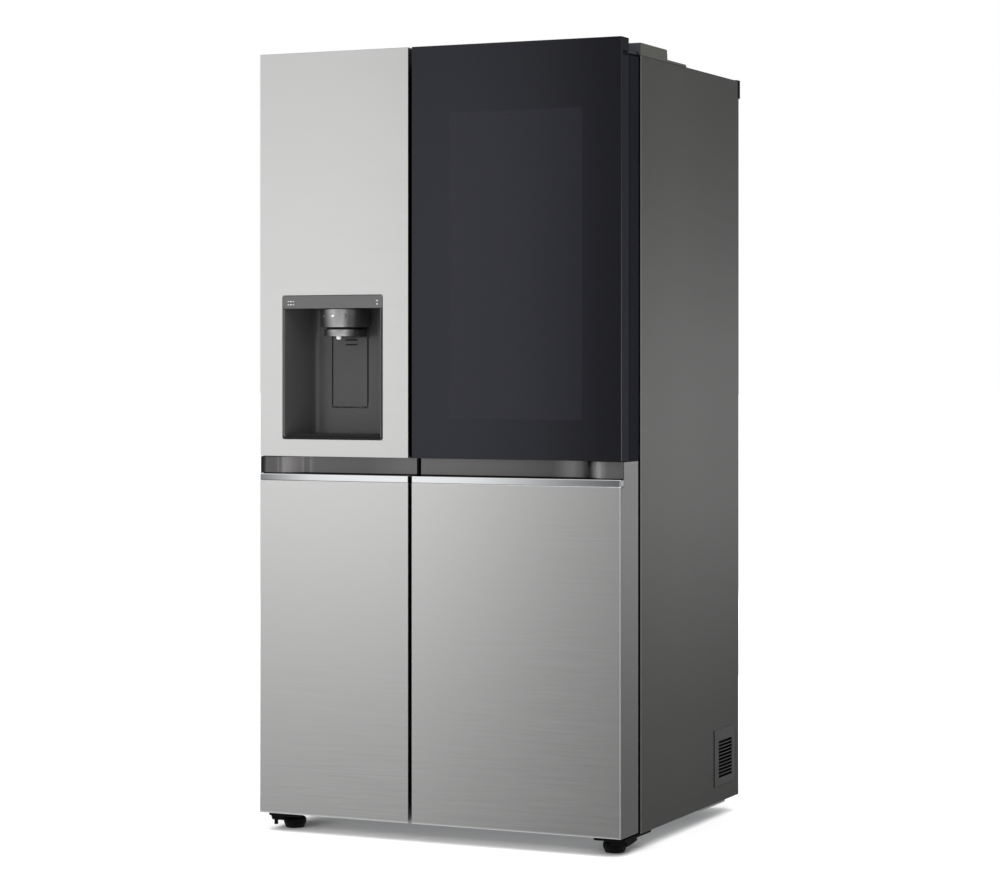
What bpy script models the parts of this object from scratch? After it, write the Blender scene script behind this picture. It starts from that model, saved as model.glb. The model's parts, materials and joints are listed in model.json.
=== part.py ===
"""A side by side refrigerator: a cabinet with a freezer door, a refrigerator door and a glass door-in-door.

Every place is given by three distances in metres: across, from the left side; deep, from the front of the
doors; and up, from the floor. The origin is at the middle of the footprint, on the floor, with the doors
facing -Y.
"""

import math

import bmesh
import bpy
from mathutils import Matrix, Vector

# Driving dimensions, in metres
WIDTH = 0.900
DEPTH = 0.759
HEIGHT = 1.791
GAP = 0.0003  # between pieces that touch
SHEET = 0.0012  # outer sheet steel
WALL = 0.002  # moulded liners
MOULDED = 0.003  # walls of bins and drawers

CASE_FRONT = 0.1125
CASE_BACK = 0.7505
CASE_LOW = 0.037
CASE_TOP = 1.7605
BACK_SHEET = 0.0018
RETURN = 0.0495  # how far the side sheets turn in at the front

DOOR_DEEP = 0.101
BEHIND_DOOR = 0.200  # where a cutter through the whole door ends
DOOR_LOW = 0.042
DOOR_BACK_TOP = 1.755  # the doors' rear part is lower, under the hinge arms
FRONT_DEEP = 0.0445  # thickness of the tall front part
STEP_DEEP = 0.0475
FREEZER_EDGE = 0.3817
FRIDGE_EDGE = 0.391

UPPER_LOW = 0.865  # underside of the upper door panels
TRIM_TOP = 0.8245
TRIM_LOW = 0.8095
TRIM_DEEP = 0.016
POCKET_DEEP = 0.048
POCKET_RIM = 0.013
POCKET_BACK = 0.060

HINGE_IN = 0.016  # door hinge axis, from the side
HINGE_DEEP = 0.068
PIN = 0.005
PIN_HOLE = 0.0053
PIN_FOOT = 1.7360  # lower end of the upper pin
GLASS_HINGE_IN = 0.010
GLASS_HINGE_DEEP = 0.0205
GLASS_PIN = 0.003
GLASS_HOLE = 0.0033
LUG_TOP = 1.7600

FREEZER_ROOM = (0.052, 0.354)
FRIDGE_ROOM = (0.418, 0.848)
ROOM_LOW = 0.115
ROOM_TOP = 1.710
ROOM_BACK = 0.690
HUMP_DEEP = 0.480  # the rooms' floor rises here, over the machine compartment
HUMP_TOP = 0.340
MACHINE_DEEP = 0.500
MACHINE_TOP = 0.320
INSIDE_FRONT = 0.215  # shelves and drawers stay behind the door bins
BIN_BACK = 0.200
SHOULDER_ROOT = 0.096  # the inner doors' shoulders start inside the foam
SHOULDER_BACK = 0.150
FREEZER_BIN = (0.080, 0.320)
ICE_ACROSS = (0.066, 0.340)
ICE_BACK = 0.600

DISPENSER = (0.059, 0.317)
DISPENSER_UP = (0.9045, 1.2337)
DISPENSER_MIDDLE = sum(DISPENSER) / 2
LEVER = (0.1395, 0.2295)
LEVER_UP = (0.978, 1.1395)
LEVER_DEEP = (0.0955, 0.0985)
LEVER_GAP = 0.0015  # all round the paddle
LEVER_WELL = 0.118  # back of the space that the paddle swings into
STRIP_LOW = 1.204
STRIP_BACK = 0.0105
TUB_BACK = 0.096
WINDOW = (0.483, 0.808)
WINDOW_UP = (0.954, 1.640)
CAVITY = (0.455, 0.836)  # the opening through the inner refrigerator door
CAVITY_UP = (0.930, 1.700)
VENT = (0.5770, 0.7250)
VENT_UP = (0.075, 0.209)
VENT_SLOTS = 11

FOOT_IN = 0.048
FOOT_DEEP = 0.080
ROLLER_IN = 0.112
ROLLER_DEEP = 0.600
ROLLER_RADIUS = 0.018
ROLLER_HALF = 0.012  # half the wheel's width
AXLE = 0.003

ROUND = 32  # sides of a round piece
THROUGH = 0.01  # how far a cutter reaches past what it cuts


# Scene and materials


def clear_scene():
    for obj in list(bpy.data.objects):
        bpy.data.objects.remove(obj, do_unlink=True)


def new_collection(name):
    collection = bpy.data.collections.new(name)
    bpy.context.scene.collection.children.link(collection)
    return collection


def new_material(name, colour, roughness, metallic=0.0, alpha=1.0):
    material = bpy.data.materials.new(name)
    material.use_nodes = True
    shader = material.node_tree.nodes["Principled BSDF"]
    shader.inputs["Base Color"].default_value = (*colour, 1.0)
    shader.inputs["Roughness"].default_value = roughness
    shader.inputs["Metallic"].default_value = metallic
    shader.inputs["Alpha"].default_value = alpha
    return material


clear_scene()
PARTS = new_collection("side_by_side_refrigerator")
CUTTERS = new_collection("cutters")

STEEL = new_material("brushed_steel", (0.58, 0.58, 0.58), 0.35, 1.0)
CASE = new_material("case_paint", (0.13, 0.13, 0.127), 0.55)
BLACK = new_material("black_plastic", (0.02, 0.02, 0.022), 0.5)
COVER = new_material("cover_plastic", (0.11, 0.11, 0.098), 0.6)
POCKET = new_material("pocket_plastic", (0.14, 0.135, 0.137), 0.4)
CHROME = new_material("bright_trim", (0.75, 0.76, 0.77), 0.12, 1.0)
GLASS = new_material("black_glass", (0.02, 0.02, 0.024), 0.05)
CLEAR = new_material("clear_plastic", (0.8, 0.85, 0.88), 0.1, 0.0, 0.4)
WHITE = new_material("liner_plastic", (0.85, 0.85, 0.84), 0.4)
RUBBER = new_material("gasket_rubber", (0.25, 0.25, 0.25), 0.8)
FOAM = new_material("foam", (0.8, 0.72, 0.45), 0.9)
ZINC = new_material("zinc_steel", (0.5, 0.51, 0.52), 0.45, 1.0)
ALUMINIUM = new_material("fin_aluminium", (0.7, 0.71, 0.72), 0.4, 1.0)
TUB = new_material("dispenser_grey", (0.075, 0.073, 0.074), 0.35)
NOZZLE = new_material("nozzle_grey", (0.2, 0.2, 0.2), 0.3)


# Shapes


def spot(across, deep, up):
    """The world place of a point given by its three distances."""
    return Vector((across - WIDTH / 2, deep - DEPTH / 2, up))


def own_side(across):
    return across


def other_side(across):
    return WIDTH - across


SIDES = (("left", own_side), ("right", other_side))


def wider(ends, by=THROUGH):
    """A range made longer at both ends."""
    return (ends[0] - by, ends[1] + by)


def add(name, bm, place, material=None):
    """Turns a bmesh into an object: a part if it has a material, a cutter if not."""
    mesh = bpy.data.meshes.new(name)
    bm.to_mesh(mesh)
    bm.free()
    obj = bpy.data.objects.new(name, mesh)
    obj.location = place
    file_away(obj, material)
    return obj


def file_away(obj, material):
    if material:
        obj.data.materials.append(material)
        PARTS.objects.link(obj)
    else:
        CUTTERS.objects.link(obj)
        obj.hide_render = True
        obj.display_type = "WIRE"


def put_box(bm, low, high, middle):
    made = bmesh.ops.create_cube(bm, size=1.0)["verts"]
    bmesh.ops.scale(bm, vec=high - low, verts=made)
    bmesh.ops.translate(bm, vec=(low + high) / 2 - middle, verts=made)


def box(name, across, deep, up, material=None):
    low = spot(min(across), deep[0], up[0])
    high = spot(max(across), deep[1], up[1])
    bm = bmesh.new()
    put_box(bm, low, high, (low + high) / 2)
    return add(name, bm, (low + high) / 2, material)


def many_boxes(name, ranges):
    """One cutter made of separate boxes, each given as its across, deep and up ranges."""
    bm = bmesh.new()
    for across, deep, up in ranges:
        put_box(bm, spot(min(across), deep[0], up[0]), spot(max(across), deep[1], up[1]), Vector())
    return add(name, bm, Vector())


def cylinder(name, place, radius, length, along="Z", material=None, sides=ROUND):
    turns = {"Z": (0, 0, 0), "X": (0, math.pi / 2, 0), "Y": (math.pi / 2, 0, 0)}
    bm = bmesh.new()
    bmesh.ops.create_cone(
        bm, cap_ends=True, segments=sides, radius1=radius, radius2=radius, depth=length
    )
    obj = add(name, bm, place, material)
    obj.rotation_euler = turns[along]
    return obj


def prism(name, outline, ends, along="Z", material=None):
    """A flat outline pushed along Z, with points (across, deep), or along X, with points (deep, up)."""
    curve = bpy.data.curves.new(name, "CURVE")
    curve.dimensions = "2D"
    curve.fill_mode = "BOTH"
    curve.extrude = (ends[1] - ends[0]) / 2
    spline = curve.splines.new("POLY")
    spline.points.add(len(outline) - 1)
    middle = sum(ends) / 2
    if along == "Z":
        base = spot(0, 0, middle)
        turn = (0, 0, 0)
    else:
        base = spot(middle, 0, 0)
        turn = (math.pi / 2, 0, math.pi / 2)
    for point, (first, second) in zip(spline.points, outline):
        point.co = (first, second, 0, 1)
    spline.use_cyclic_u = True
    guide = bpy.data.objects.new(name, curve)
    guide.location = base
    guide.rotation_euler = turn
    PARTS.objects.link(guide)
    return to_mesh(guide, material)


def to_mesh(guide, material):
    """The curve object as a closed mesh object in the same place."""
    bpy.context.view_layer.update()
    graph = bpy.context.evaluated_depsgraph_get()
    mesh = bpy.data.meshes.new_from_object(guide.evaluated_get(graph))
    bm = bmesh.new()
    bm.from_mesh(mesh)
    bmesh.ops.remove_doubles(bm, verts=bm.verts, dist=0.00001)
    bmesh.ops.recalc_face_normals(bm, faces=bm.faces)
    bm.to_mesh(mesh)
    bm.free()
    name = guide.name
    place = guide.matrix_world.copy()
    bpy.data.objects.remove(guide, do_unlink=True)
    obj = bpy.data.objects.new(name, mesh)
    obj.matrix_world = place
    file_away(obj, material)
    return obj


def turned(name, profile, place, along="Z", material=None, sides=ROUND):
    """A solid of revolution. The profile runs (radius, height) down its outer side from the top."""
    mesh = bpy.data.meshes.new(name)
    points = [(radius, 0, height) for radius, height in profile]
    mesh.from_pydata(points, [(i, i + 1) for i in range(len(points) - 1)], [])
    obj = bpy.data.objects.new(name, mesh)
    obj.location = place
    obj.rotation_euler = (0, math.pi / 2, 0) if along == "X" else (0, 0, 0)
    screw = obj.modifiers.new("turn", "SCREW")
    screw.steps = sides
    screw.render_steps = sides
    screw.use_merge_vertices = True
    screw.merge_threshold = 0.00005
    screw.use_smooth_shade = True
    file_away(obj, material)
    return obj


def boolean(obj, tool, operation):
    modifier = obj.modifiers.new(tool.name, "BOOLEAN")
    modifier.operation = operation
    modifier.solver = "EXACT"
    modifier.object = tool
    bpy.context.view_layer.update()
    place = tool.matrix_world.copy()
    tool.parent = obj
    tool.matrix_parent_inverse = obj.matrix_world.inverted()
    tool.matrix_world = place


def cut(obj, tool):
    boolean(obj, tool, "DIFFERENCE")


def join(obj, tool):
    boolean(obj, tool, "UNION")


def cut_box(obj, across, deep, up):
    cut(obj, box(f"{obj.name}_cut_{len(obj.modifiers)}", across, deep, up))


def join_box(obj, across, deep, up):
    join(obj, box(f"{obj.name}_join_{len(obj.modifiers)}", across, deep, up))


def cut_hole(obj, across, deep, up, radius):
    place = spot(across, deep, sum(up) / 2)
    cut(obj, cylinder(f"{obj.name}_hole_{len(obj.modifiers)}", place, radius, up[1] - up[0]))


def join_pin(obj, across, deep, up, radius):
    place = spot(across, deep, sum(up) / 2)
    join(obj, cylinder(f"{obj.name}_pin_{len(obj.modifiers)}", place, radius, up[1] - up[0]))


def bevel(obj, width, segments=2):
    modifier = obj.modifiers.new("bevel", "BEVEL")
    modifier.width = width
    modifier.segments = segments
    modifier.limit_method = "ANGLE"


def tray(name, across, deep, up, wall, material):
    """A box with walls and a floor, open at the top."""
    obj = box(name, across, deep, up, material)
    inner_across = (across[0] + wall, across[1] - wall)
    inner_deep = (deep[0] + wall, deep[1] - wall)
    cut_box(obj, inner_across, inner_deep, (up[0] + wall, up[1] + THROUGH))
    return obj


def ring(name, across, deep, up, width, material):
    """A flat frame round an opening, seen from the front."""
    obj = box(name, across, deep, up, material)
    inner_across = (across[0] + width, across[1] - width)
    cut_box(obj, inner_across, wider(deep), (up[0] + width, up[1] - width))
    return obj


def slots(count, low, high, share):
    """Evenly spaced ranges between low and high, each an open share of its pitch."""
    pitch = (high - low) / count
    margin = pitch * (1 - share) / 2
    return [(low + i * pitch + margin, low + (i + 1) * pitch - margin) for i in range(count)]


def hang_on_joint(name, place, names):
    """Parents a moving body's objects, given by name, to an empty on its joint axis."""
    empty = bpy.data.objects.new(name, None)
    empty.location = place
    PARTS.objects.link(empty)
    bpy.context.view_layer.update()
    for child in [bpy.data.objects[each] for each in names]:
        child.parent = empty
        child.matrix_parent_inverse = empty.matrix_world.inverted()
    return empty


# Cabinet


def side_panels():
    """Folded sheets with a return at the front. The right one has the vent opening."""
    ends = (CASE_LOW, CASE_TOP - SHEET - GAP)
    back = CASE_BACK - BACK_SHEET - GAP
    for end, side in SIDES:
        outline = [
            (0, CASE_FRONT),
            (RETURN, CASE_FRONT),
            (RETURN, CASE_FRONT + SHEET),
            (SHEET, CASE_FRONT + SHEET),
            (SHEET, back),
            (0, back),
        ]
        panel = prism(f"{end}_side_panel", [(side(a), d) for a, d in outline], ends, "Z", CASE)
    cut_box(panel, wider((WIDTH, WIDTH)), wider(VENT, GAP), wider(VENT_UP, GAP))


def top_panel():
    panel = box(
        "top_panel",
        (0, WIDTH),
        (CASE_FRONT, CASE_BACK - BACK_SHEET - GAP),
        (CASE_TOP - SHEET, CASE_TOP),
        CASE,
    )
    inside = (RETURN + GAP, other_side(RETURN + GAP))
    low = ROOM_TOP + WALL + GAP
    join_box(panel, inside, (CASE_FRONT, CASE_FRONT + SHEET), (low, CASE_TOP - SHEET / 2))


def back_panels():
    deep = (CASE_BACK - BACK_SHEET, CASE_BACK)
    margin = 0.002
    split = MACHINE_TOP + margin
    box("back_panel", (0, WIDTH), deep, (split, CASE_TOP), CASE)
    across = (margin, WIDTH - margin)
    cover = box("machine_cover", across, deep, (CASE_LOW + 2 * margin, split - GAP), BLACK)
    columns = ((0.08, 0.30), (0.36, 0.54), (0.60, 0.82))
    rows = slots(7, 0.10, 0.27, 0.35)
    louvres = [(column, wider(deep), up) for column in columns for up in rows]
    cut(cover, many_boxes("cover_louvres", louvres))


def divider_strip():
    across = (FREEZER_ROOM[1] + WALL + GAP, FRIDGE_ROOM[0] - WALL - GAP)
    up = (ROOM_LOW - WALL, ROOM_TOP + WALL)
    box("divider_strip", across, (CASE_FRONT, CASE_FRONT + SHEET), up, CASE)


def base_frame():
    """Floor sheet, front rail, side skids, and a pair of ears for each rear roller."""
    inner = SHEET + GAP
    low = CASE_LOW
    floor = (low, low + 0.003)
    rail_back = 0.1145
    frame_deep = (rail_back - 0.0005, CASE_BACK - BACK_SHEET - GAP)
    frame = box("base_frame", (inner, WIDTH - inner), frame_deep, floor, ZINC)
    rail = (RETURN + GAP, other_side(RETURN + GAP))
    join_box(frame, rail, (CASE_FRONT, rail_back), (low, ROOM_LOW - WALL - 2 * GAP))
    skid_deep = (0.4925, 0.658)
    skid_low = low - 0.005
    ear_low = 0.008
    ear_thick = 0.003
    for end, side in SIDES:
        join_box(frame, (side(inner), side(0.030)), skid_deep, (skid_low, low + 0.001))
        for ear in (ROLLER_IN - ROLLER_HALF - 0.0035, ROLLER_IN + ROLLER_HALF + 0.0005):
            across = (side(ear), side(ear + ear_thick))
            join_box(frame, across, wider((ROLLER_DEEP, ROLLER_DEEP)), (ear_low, low + 0.001))
        place = spot(side(ROLLER_IN), ROLLER_DEEP, ROLLER_RADIUS)
        cut(frame, cylinder(f"axle_hole_{end}", place, AXLE + GAP, 0.040, "X", sides=16))


def insulation_foam():
    """Foam between the sheets and the liners, with the machine compartment left free."""
    inner = SHEET + GAP
    deep = (CASE_FRONT + 0.0025, CASE_BACK - BACK_SHEET - GAP)
    up = (CASE_LOW + 0.0033, CASE_TOP - inner)
    foam = box("insulation_foam", (inner, WIDTH - inner), deep, up, FOAM)
    lining = WALL + GAP
    front = DOOR_DEEP
    for room in (FREEZER_ROOM, FRIDGE_ROOM):
        across = wider(room, lining)
        cut_box(foam, across, (front, ROOM_BACK + lining), (HUMP_TOP - lining, ROOM_TOP + lining))
        cut_box(foam, across, (front, HUMP_DEEP + lining), (ROOM_LOW - lining, HUMP_TOP))
    cut_box(foam, wider((0, WIDTH)), (MACHINE_DEEP, 2 * DEPTH), (0, MACHINE_TOP))


def liner(name, room):
    """A compartment's moulded lining, open at the front and stepped over the machine compartment."""
    deep = (CASE_FRONT + GAP, ROOM_BACK + WALL)
    up = (ROOM_LOW - WALL, ROOM_TOP + WALL)
    front = DOOR_DEEP
    obj = box(name, wider(room, WALL), deep, up, WHITE)
    cut_box(obj, wider((0, WIDTH)), (HUMP_DEEP + WALL, 2 * DEPTH), (0, HUMP_TOP - WALL))
    cut_box(obj, room, (front, ROOM_BACK), (HUMP_TOP, ROOM_TOP))
    cut_box(obj, room, (front, HUMP_DEEP), (ROOM_LOW, HUMP_TOP + 0.005))


def rear_top_rail():
    """A black moulding over the rear top edge, with a lip on the top sheet."""
    top = CASE_TOP + 0.002
    rail = box("rear_top_rail", (0, WIDTH), (CASE_BACK + GAP, DEPTH), (top - 0.0441, top), BLACK)
    join_box(rail, (0, WIDTH), (CASE_BACK - 0.0135, CASE_BACK + 0.001), (CASE_TOP + GAP, top))


def upper_hinge(name, side):
    """A steel plate on the case with an arm and a pin over the door."""
    plate_up = (CASE_TOP + GAP, CASE_TOP + GAP + 0.004)
    plate_deep = (CASE_FRONT + 0.004, 0.240)
    arm = 0.009
    hinge = box(name, (side(0.006), side(0.070)), plate_deep, plate_up, ZINC)
    arm_across = (side(HINGE_IN - arm), side(HINGE_IN + arm))
    join_box(hinge, arm_across, (HINGE_DEEP - arm - 0.0015, 0.150), plate_up)
    pin_up = (PIN_FOOT, plate_up[0] + 0.002)
    join_pin(hinge, side(HINGE_IN), HINGE_DEEP, pin_up, PIN)


def hinge_cover(name, side):
    """A moulded cap over the upper hinge, with a low tail over the wiring."""
    low = CASE_TOP + GAP
    top = HEIGHT - 0.0025
    tail_top = CASE_TOP + 0.006
    front = CASE_FRONT + 0.001
    back = 0.2755
    wide = 0.110
    wall = 0.003
    outline = [
        (front, low),
        (front, top),
        (back, top),
        (back + 0.003, tail_top),
        (0.3930, tail_top),
        (0.4000, low),
    ]
    cover = prism(name, outline, sorted((side(0), side(wide))), "X", COVER)
    inside_up = (low - THROUGH, top - wall)
    cut_box(cover, (side(wall), side(wide - wall)), (front + wall, back - 0.002), inside_up)
    arm_slot = (side(0.005), side(0.027))
    cut_box(cover, arm_slot, (front - wall, front + wall + 0.002), (low - THROUGH, low + 0.006))


def lower_hinge(name, side):
    """A plate under the base with the door's lower pin, a bolt and the hole for the foot's thread."""
    up = (0.030, CASE_LOW - 2 * GAP)
    inside = up[0] + 0.002
    bolt = (0.009, inside)
    hinge = box(name, (side(0.004), side(0.080)), (0.034, 0.188), up, BLACK)
    bevel(hinge, 0.0015)
    join_pin(hinge, side(HINGE_IN), HINGE_DEEP, (inside, 0.060), PIN)
    join_pin(hinge, side(0.017), 0.046, bolt, 0.0045)
    cut_hole(hinge, side(FOOT_IN), FOOT_DEEP, wider(up), PIN_HOLE)


def front_foot(name, side):
    """A round foot with a threaded stem that stands in the hinge plate."""
    profile = [
        (0, 0.0400),
        (0.0050, 0.0400),
        (0.0050, 0.0230),
        (0.0235, 0.0230),
        (0.0262, 0.0200),
        (0.0262, 0.0120),
        (0.0215, 0),
        (0, 0),
    ]
    return turned(name, profile, spot(side(FOOT_IN), FOOT_DEEP, 0), "Z", BLACK)


def rear_roller(name, side):
    """A wheel with stub axles, turning in the base frame's ears."""
    stub = ROLLER_HALF + 0.0025
    round_off = 0.002
    upper = [
        (0, stub),
        (AXLE, stub),
        (AXLE, ROLLER_HALF),
        (ROLLER_RADIUS - round_off, ROLLER_HALF),
        (ROLLER_RADIUS, ROLLER_HALF - round_off),
    ]
    profile = upper + [(radius, -height) for radius, height in reversed(upper)]
    place = spot(side(ROLLER_IN), ROLLER_DEEP, ROLLER_RADIUS)
    return turned(name, profile, place, "X", BLACK, 24)


def side_vent_grille():
    """A plate flush in the right side panel, with level slots."""
    face = WIDTH - 0.0002
    across = (face - 0.006, face)
    grille = box("side_vent_grille", across, VENT, VENT_UP, POCKET)
    rows = slots(VENT_SLOTS, 0.0925, 0.1820, 0.52)
    slot_deep = (0.613, 0.703)
    cut(grille, many_boxes("vent_slots", [(wider(across), slot_deep, up) for up in rows]))


# Machines


def compressor():
    """A hermetic shell on a mounting plate."""
    arc = [math.radians(angle) for angle in (90, 65, 40, 15)]
    radius = 0.072
    seam = radius + 0.004
    top = [(radius * math.cos(a), 0.150 + 0.045 * math.sin(a)) for a in arc]
    bottom = [(radius * math.cos(a), 0.105 - 0.040 * math.sin(a)) for a in reversed(arc)]
    profile = [(0, top[0][1]), *top[1:], (seam, 0.130), (seam, 0.124)]
    profile += [*bottom[:-1], (0, bottom[-1][1])]
    shell = turned("compressor", profile, spot(0.170, 0.625, 0), "Z", BLACK, 24)
    join_box(shell, (0.090, 0.250), (0.570, 0.680), (0.055, 0.070))
    join_box(shell, (0.150, 0.190), (0.600, 0.650), (0.0403, 0.060))


def finned_block(name, across, deep, up, fins, material):
    """A heat exchanger: a solid block with grooves between its fins, cut from both faces."""
    block = box(name, across, deep, up, material)
    third = (deep[1] - deep[0]) / 3
    columns = slots(fins, across[0] + 0.004, across[1] - 0.004, 0.6)
    faces = ((deep[0] - THROUGH, deep[0] + third), (deep[1] - third, deep[1] + THROUGH))
    for number, face in enumerate(faces):
        grooves = [(column, face, wider(up)) for column in columns]
        cut(block, many_boxes(f"{name}_grooves_{number}", grooves))


def fan(name, place, radius, along):
    """A hub with five pitched blades."""
    blades = 5
    pitch = math.radians(24)
    blade_size = (radius * 0.75, radius * 0.62, 0.0016)
    blade_middle = Vector((radius * 0.625, 0, 0))
    hub = cylinder(name, place, radius * 0.3, 0.020, along, POCKET, 20)
    for i in range(blades):
        bm = bmesh.new()
        bmesh.ops.create_cube(bm, size=1.0)
        bmesh.ops.scale(bm, vec=blade_size, verts=bm.verts)
        blade = add(f"{name}_blade_{i}", bm, Vector())
        turn = blade_turn(pitch, math.tau * i / blades, along)
        blade.matrix_world = Matrix.Translation(place + turn @ blade_middle) @ turn.to_4x4()
        join(hub, blade)


def blade_turn(pitch, angle, along):
    """Pitches a blade about its own length, then turns it about the fan's axis."""
    spin = Matrix.Rotation(angle, 3, "Z") @ Matrix.Rotation(pitch, 3, "X")
    lay = Matrix.Rotation(math.pi / 2, 3, "Y" if along == "X" else "X")
    return lay @ spin


def machines():
    compressor()
    finned_block("condenser", (0.780, 0.880), (0.560, 0.735), (0.050, 0.215), 12, ALUMINIUM)
    finned_block("evaporator", ICE_ACROSS, (0.630, 0.684), (0.380, 0.720), 20, ALUMINIUM)
    tray("drain_pan", (0.340, 0.640), (0.540, 0.735), (0.0405, 0.075), 0.002, POCKET)
    fan("condenser_fan", spot(0.710, 0.640, 0.135), 0.075, "X")
    fan("evaporator_fan", spot(0.203, 0.655, 0.900), 0.060, "Y")


# Compartments


def duct_covers():
    """Plates in front of the rear air ducts, with outlet slots."""
    rooms = (("freezer_duct_cover", FREEZER_ROOM, 0.612), ("fridge_duct_cover", FRIDGE_ROOM, 0.640))
    up = (HUMP_TOP + GAP, ROOM_TOP - GAP)
    rows = [(low, low + 0.012) for low in (0.45, 0.80, 1.15, 1.50)]
    for name, room, front in rooms:
        deep = (front, front + 0.004)
        plate = box(name, wider(room, -GAP), deep, up, WHITE)
        middle = sum(room) / 2
        outlet = (middle - 0.06, middle + 0.06)
        cut(plate, many_boxes(f"{name}_slots", [(outlet, wider(deep), row) for row in rows]))


def shelf(name, room, top, back):
    """A clear plate with a raised lip at the front."""
    across = wider(room, -GAP)
    obj = box(name, across, (INSIDE_FRONT, back), (top - 0.005, top), CLEAR)
    join_box(obj, across, (INSIDE_FRONT, INSIDE_FRONT + 0.012), (top - 0.018, top + 0.004))


def shelves():
    shelf("freezer_shelf", FREEZER_ROOM, 1.100, 0.606)
    shelf("fridge_shelf_upper", FRIDGE_ROOM, 1.350, 0.634)
    shelf("fridge_shelf_lower", FRIDGE_ROOM, 0.990, 0.634)


def drawer(name, room):
    """An open bin with a raised front and a finger lip."""
    across = wider(room, -0.004)
    lip_deep = (INSIDE_FRONT - 0.010, INSIDE_FRONT + 0.002)
    obj = tray(name, across, (INSIDE_FRONT, HUMP_DEEP - 0.008), (0.120, 0.322), MOULDED, CLEAR)
    join_box(obj, across, lip_deep, (0.300, 0.312))


def ice_maker():
    """The unit under the freezer's roof, with the tray where the ice forms."""
    top = 1.695
    maker = box("ice_maker", ICE_ACROSS, (0.330, ICE_BACK), (1.600, top), WHITE)
    bevel(maker, 0.006)
    cut_box(maker, (0.090, 0.316), (0.350, 0.540), (1.640, top + THROUGH))


def ice_bucket():
    tray("ice_bucket", ICE_ACROSS, (INSIDE_FRONT, ICE_BACK), (1.430, 1.580), MOULDED, CLEAR)


# Doors


def skin(name, across, up, material):
    """A folded door sheet: a front with side, top and bottom flanges, open at the back."""
    obj = box(name, across, (0, DOOR_DEEP - 0.0015), up, material)
    cut_box(obj, wider(across, -SHEET), (SHEET, BEHIND_DOOR), wider(up, -SHEET))
    return obj


def lower_skin(name, across, hinge_side):
    """A door's lower sheet, whose flange on the hinge side runs on up past the hand recess."""
    obj = skin(name, across, (DOOR_LOW, TRIM_LOW - GAP), STEEL)
    flange = sorted((hinge_side(0), hinge_side(SHEET)))
    flange_deep = (TRIM_DEEP + GAP, DOOR_DEEP - 0.0015)
    join_box(obj, flange, flange_deep, (TRIM_LOW - 0.005, UPPER_LOW - 0.0015))
    behind_pocket = (POCKET_BACK, BEHIND_DOOR)
    cut_box(obj, wider(across, -SHEET), behind_pocket, wider((TRIM_LOW, TRIM_LOW)))
    cut_hole(obj, hinge_side(HINGE_IN), HINGE_DEEP, wider((DOOR_LOW, DOOR_LOW)), PIN_HOLE)


def cut_step(obj, across):
    """Lowers a door's rear part, so that it passes under the hinge arm."""
    cut_box(obj, wider(across), (STEP_DEEP - 0.001, BEHIND_DOOR), (DOOR_BACK_TOP, 2 * HEIGHT))


def freezer_upper_skin():
    """The upper sheet: lower at the back for the hinge arm, with the dispenser's opening."""
    across = (0, FREEZER_EDGE)
    obj = skin("freezer_upper_skin", across, (UPPER_LOW, HEIGHT), STEEL)
    behind_pocket = (POCKET_BACK, BEHIND_DOOR)
    cut_box(obj, wider(across, -SHEET), behind_pocket, wider((UPPER_LOW, UPPER_LOW)))
    cut_step(obj, across)
    cut_box(obj, wider(DISPENSER, GAP), wider((0, THROUGH)), wider(DISPENSER_UP, GAP))


def trim_strip(name, across):
    """The bright strip along the top of a lower panel."""
    strip = box(name, across, (0, TRIM_DEEP), (TRIM_LOW, TRIM_TOP), CHROME)
    bevel(strip, 0.0012)


def pocket_outline(open_end, deep_end, flat_end):
    """The hand recess in plan: deep for most of its length, rising in an S to the hinge side's rim."""
    steps = 10
    rim = POCKET_RIM - 0.0015
    outline = [(open_end, -THROUGH), (open_end, POCKET_DEEP)]
    for i in range(steps + 1):
        t = i / steps
        ease = t * t * (3 - 2 * t)
        deep = POCKET_DEEP + ease * (rim - POCKET_DEEP)
        outline.append((deep_end + t * (flat_end - deep_end), deep))
    outline.append((flat_end, -THROUGH))
    return outline


def handle_pocket(name, across, top, outline):
    """A moulded recess for the fingers between a door's upper and lower panels."""
    obj = box(name, across, (POCKET_RIM, POCKET_BACK), (TRIM_LOW + GAP, top), POCKET)
    cut_box(obj, wider(across), (0, TRIM_DEEP + GAP), (TRIM_LOW, TRIM_TOP + GAP))
    cut(obj, prism(f"{name}_recess", outline, (TRIM_TOP, top + THROUGH)))
    return obj


def pin_holes(core, across):
    """The holes for a door's lower and upper hinge pins."""
    cut_hole(core, across, HINGE_DEEP, (0.020, 0.062), PIN_HOLE)
    cut_hole(core, across, HINGE_DEEP, (PIN_FOOT - 0.003, DOOR_BACK_TOP + 0.015), PIN_HOLE)


def freezer_door_core():
    """Foam-filled inner door: shoulders for the bins, a housing behind the dispenser, hinge holes."""
    inner = SHEET + GAP
    across = (inner, FREEZER_EDGE - inner)
    up = (DOOR_LOW + inner, HEIGHT - inner)
    core = box("freezer_door_core", across, (inner, DOOR_DEEP), up, WHITE)
    cut_step(core, across)
    front = (-THROUGH, POCKET_BACK + GAP)
    cut_box(core, wider(across), front, (TRIM_LOW - SHEET - 2 * GAP, UPPER_LOW + inner))
    for shoulder in ((0.062, FREEZER_BIN[0]), (FREEZER_BIN[1], 0.338)):
        join_box(core, shoulder, (SHOULDER_ROOT, SHOULDER_BACK), (0.450, 1.660))
    join_box(core, (0.075, 0.325), (SHOULDER_ROOT, SHOULDER_BACK - 0.010), (0.880, 1.260))
    hole_deep = (-THROUGH, TUB_BACK + MOULDED + GAP)
    cut_box(core, wider(DISPENSER, GAP), hole_deep, wider(DISPENSER_UP, GAP))
    well_deep = (TUB_BACK, LEVER_WELL)
    cut_box(core, wider(LEVER, LEVER_GAP), well_deep, wider(LEVER_UP, LEVER_GAP))
    pin_holes(core, HINGE_IN)


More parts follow.
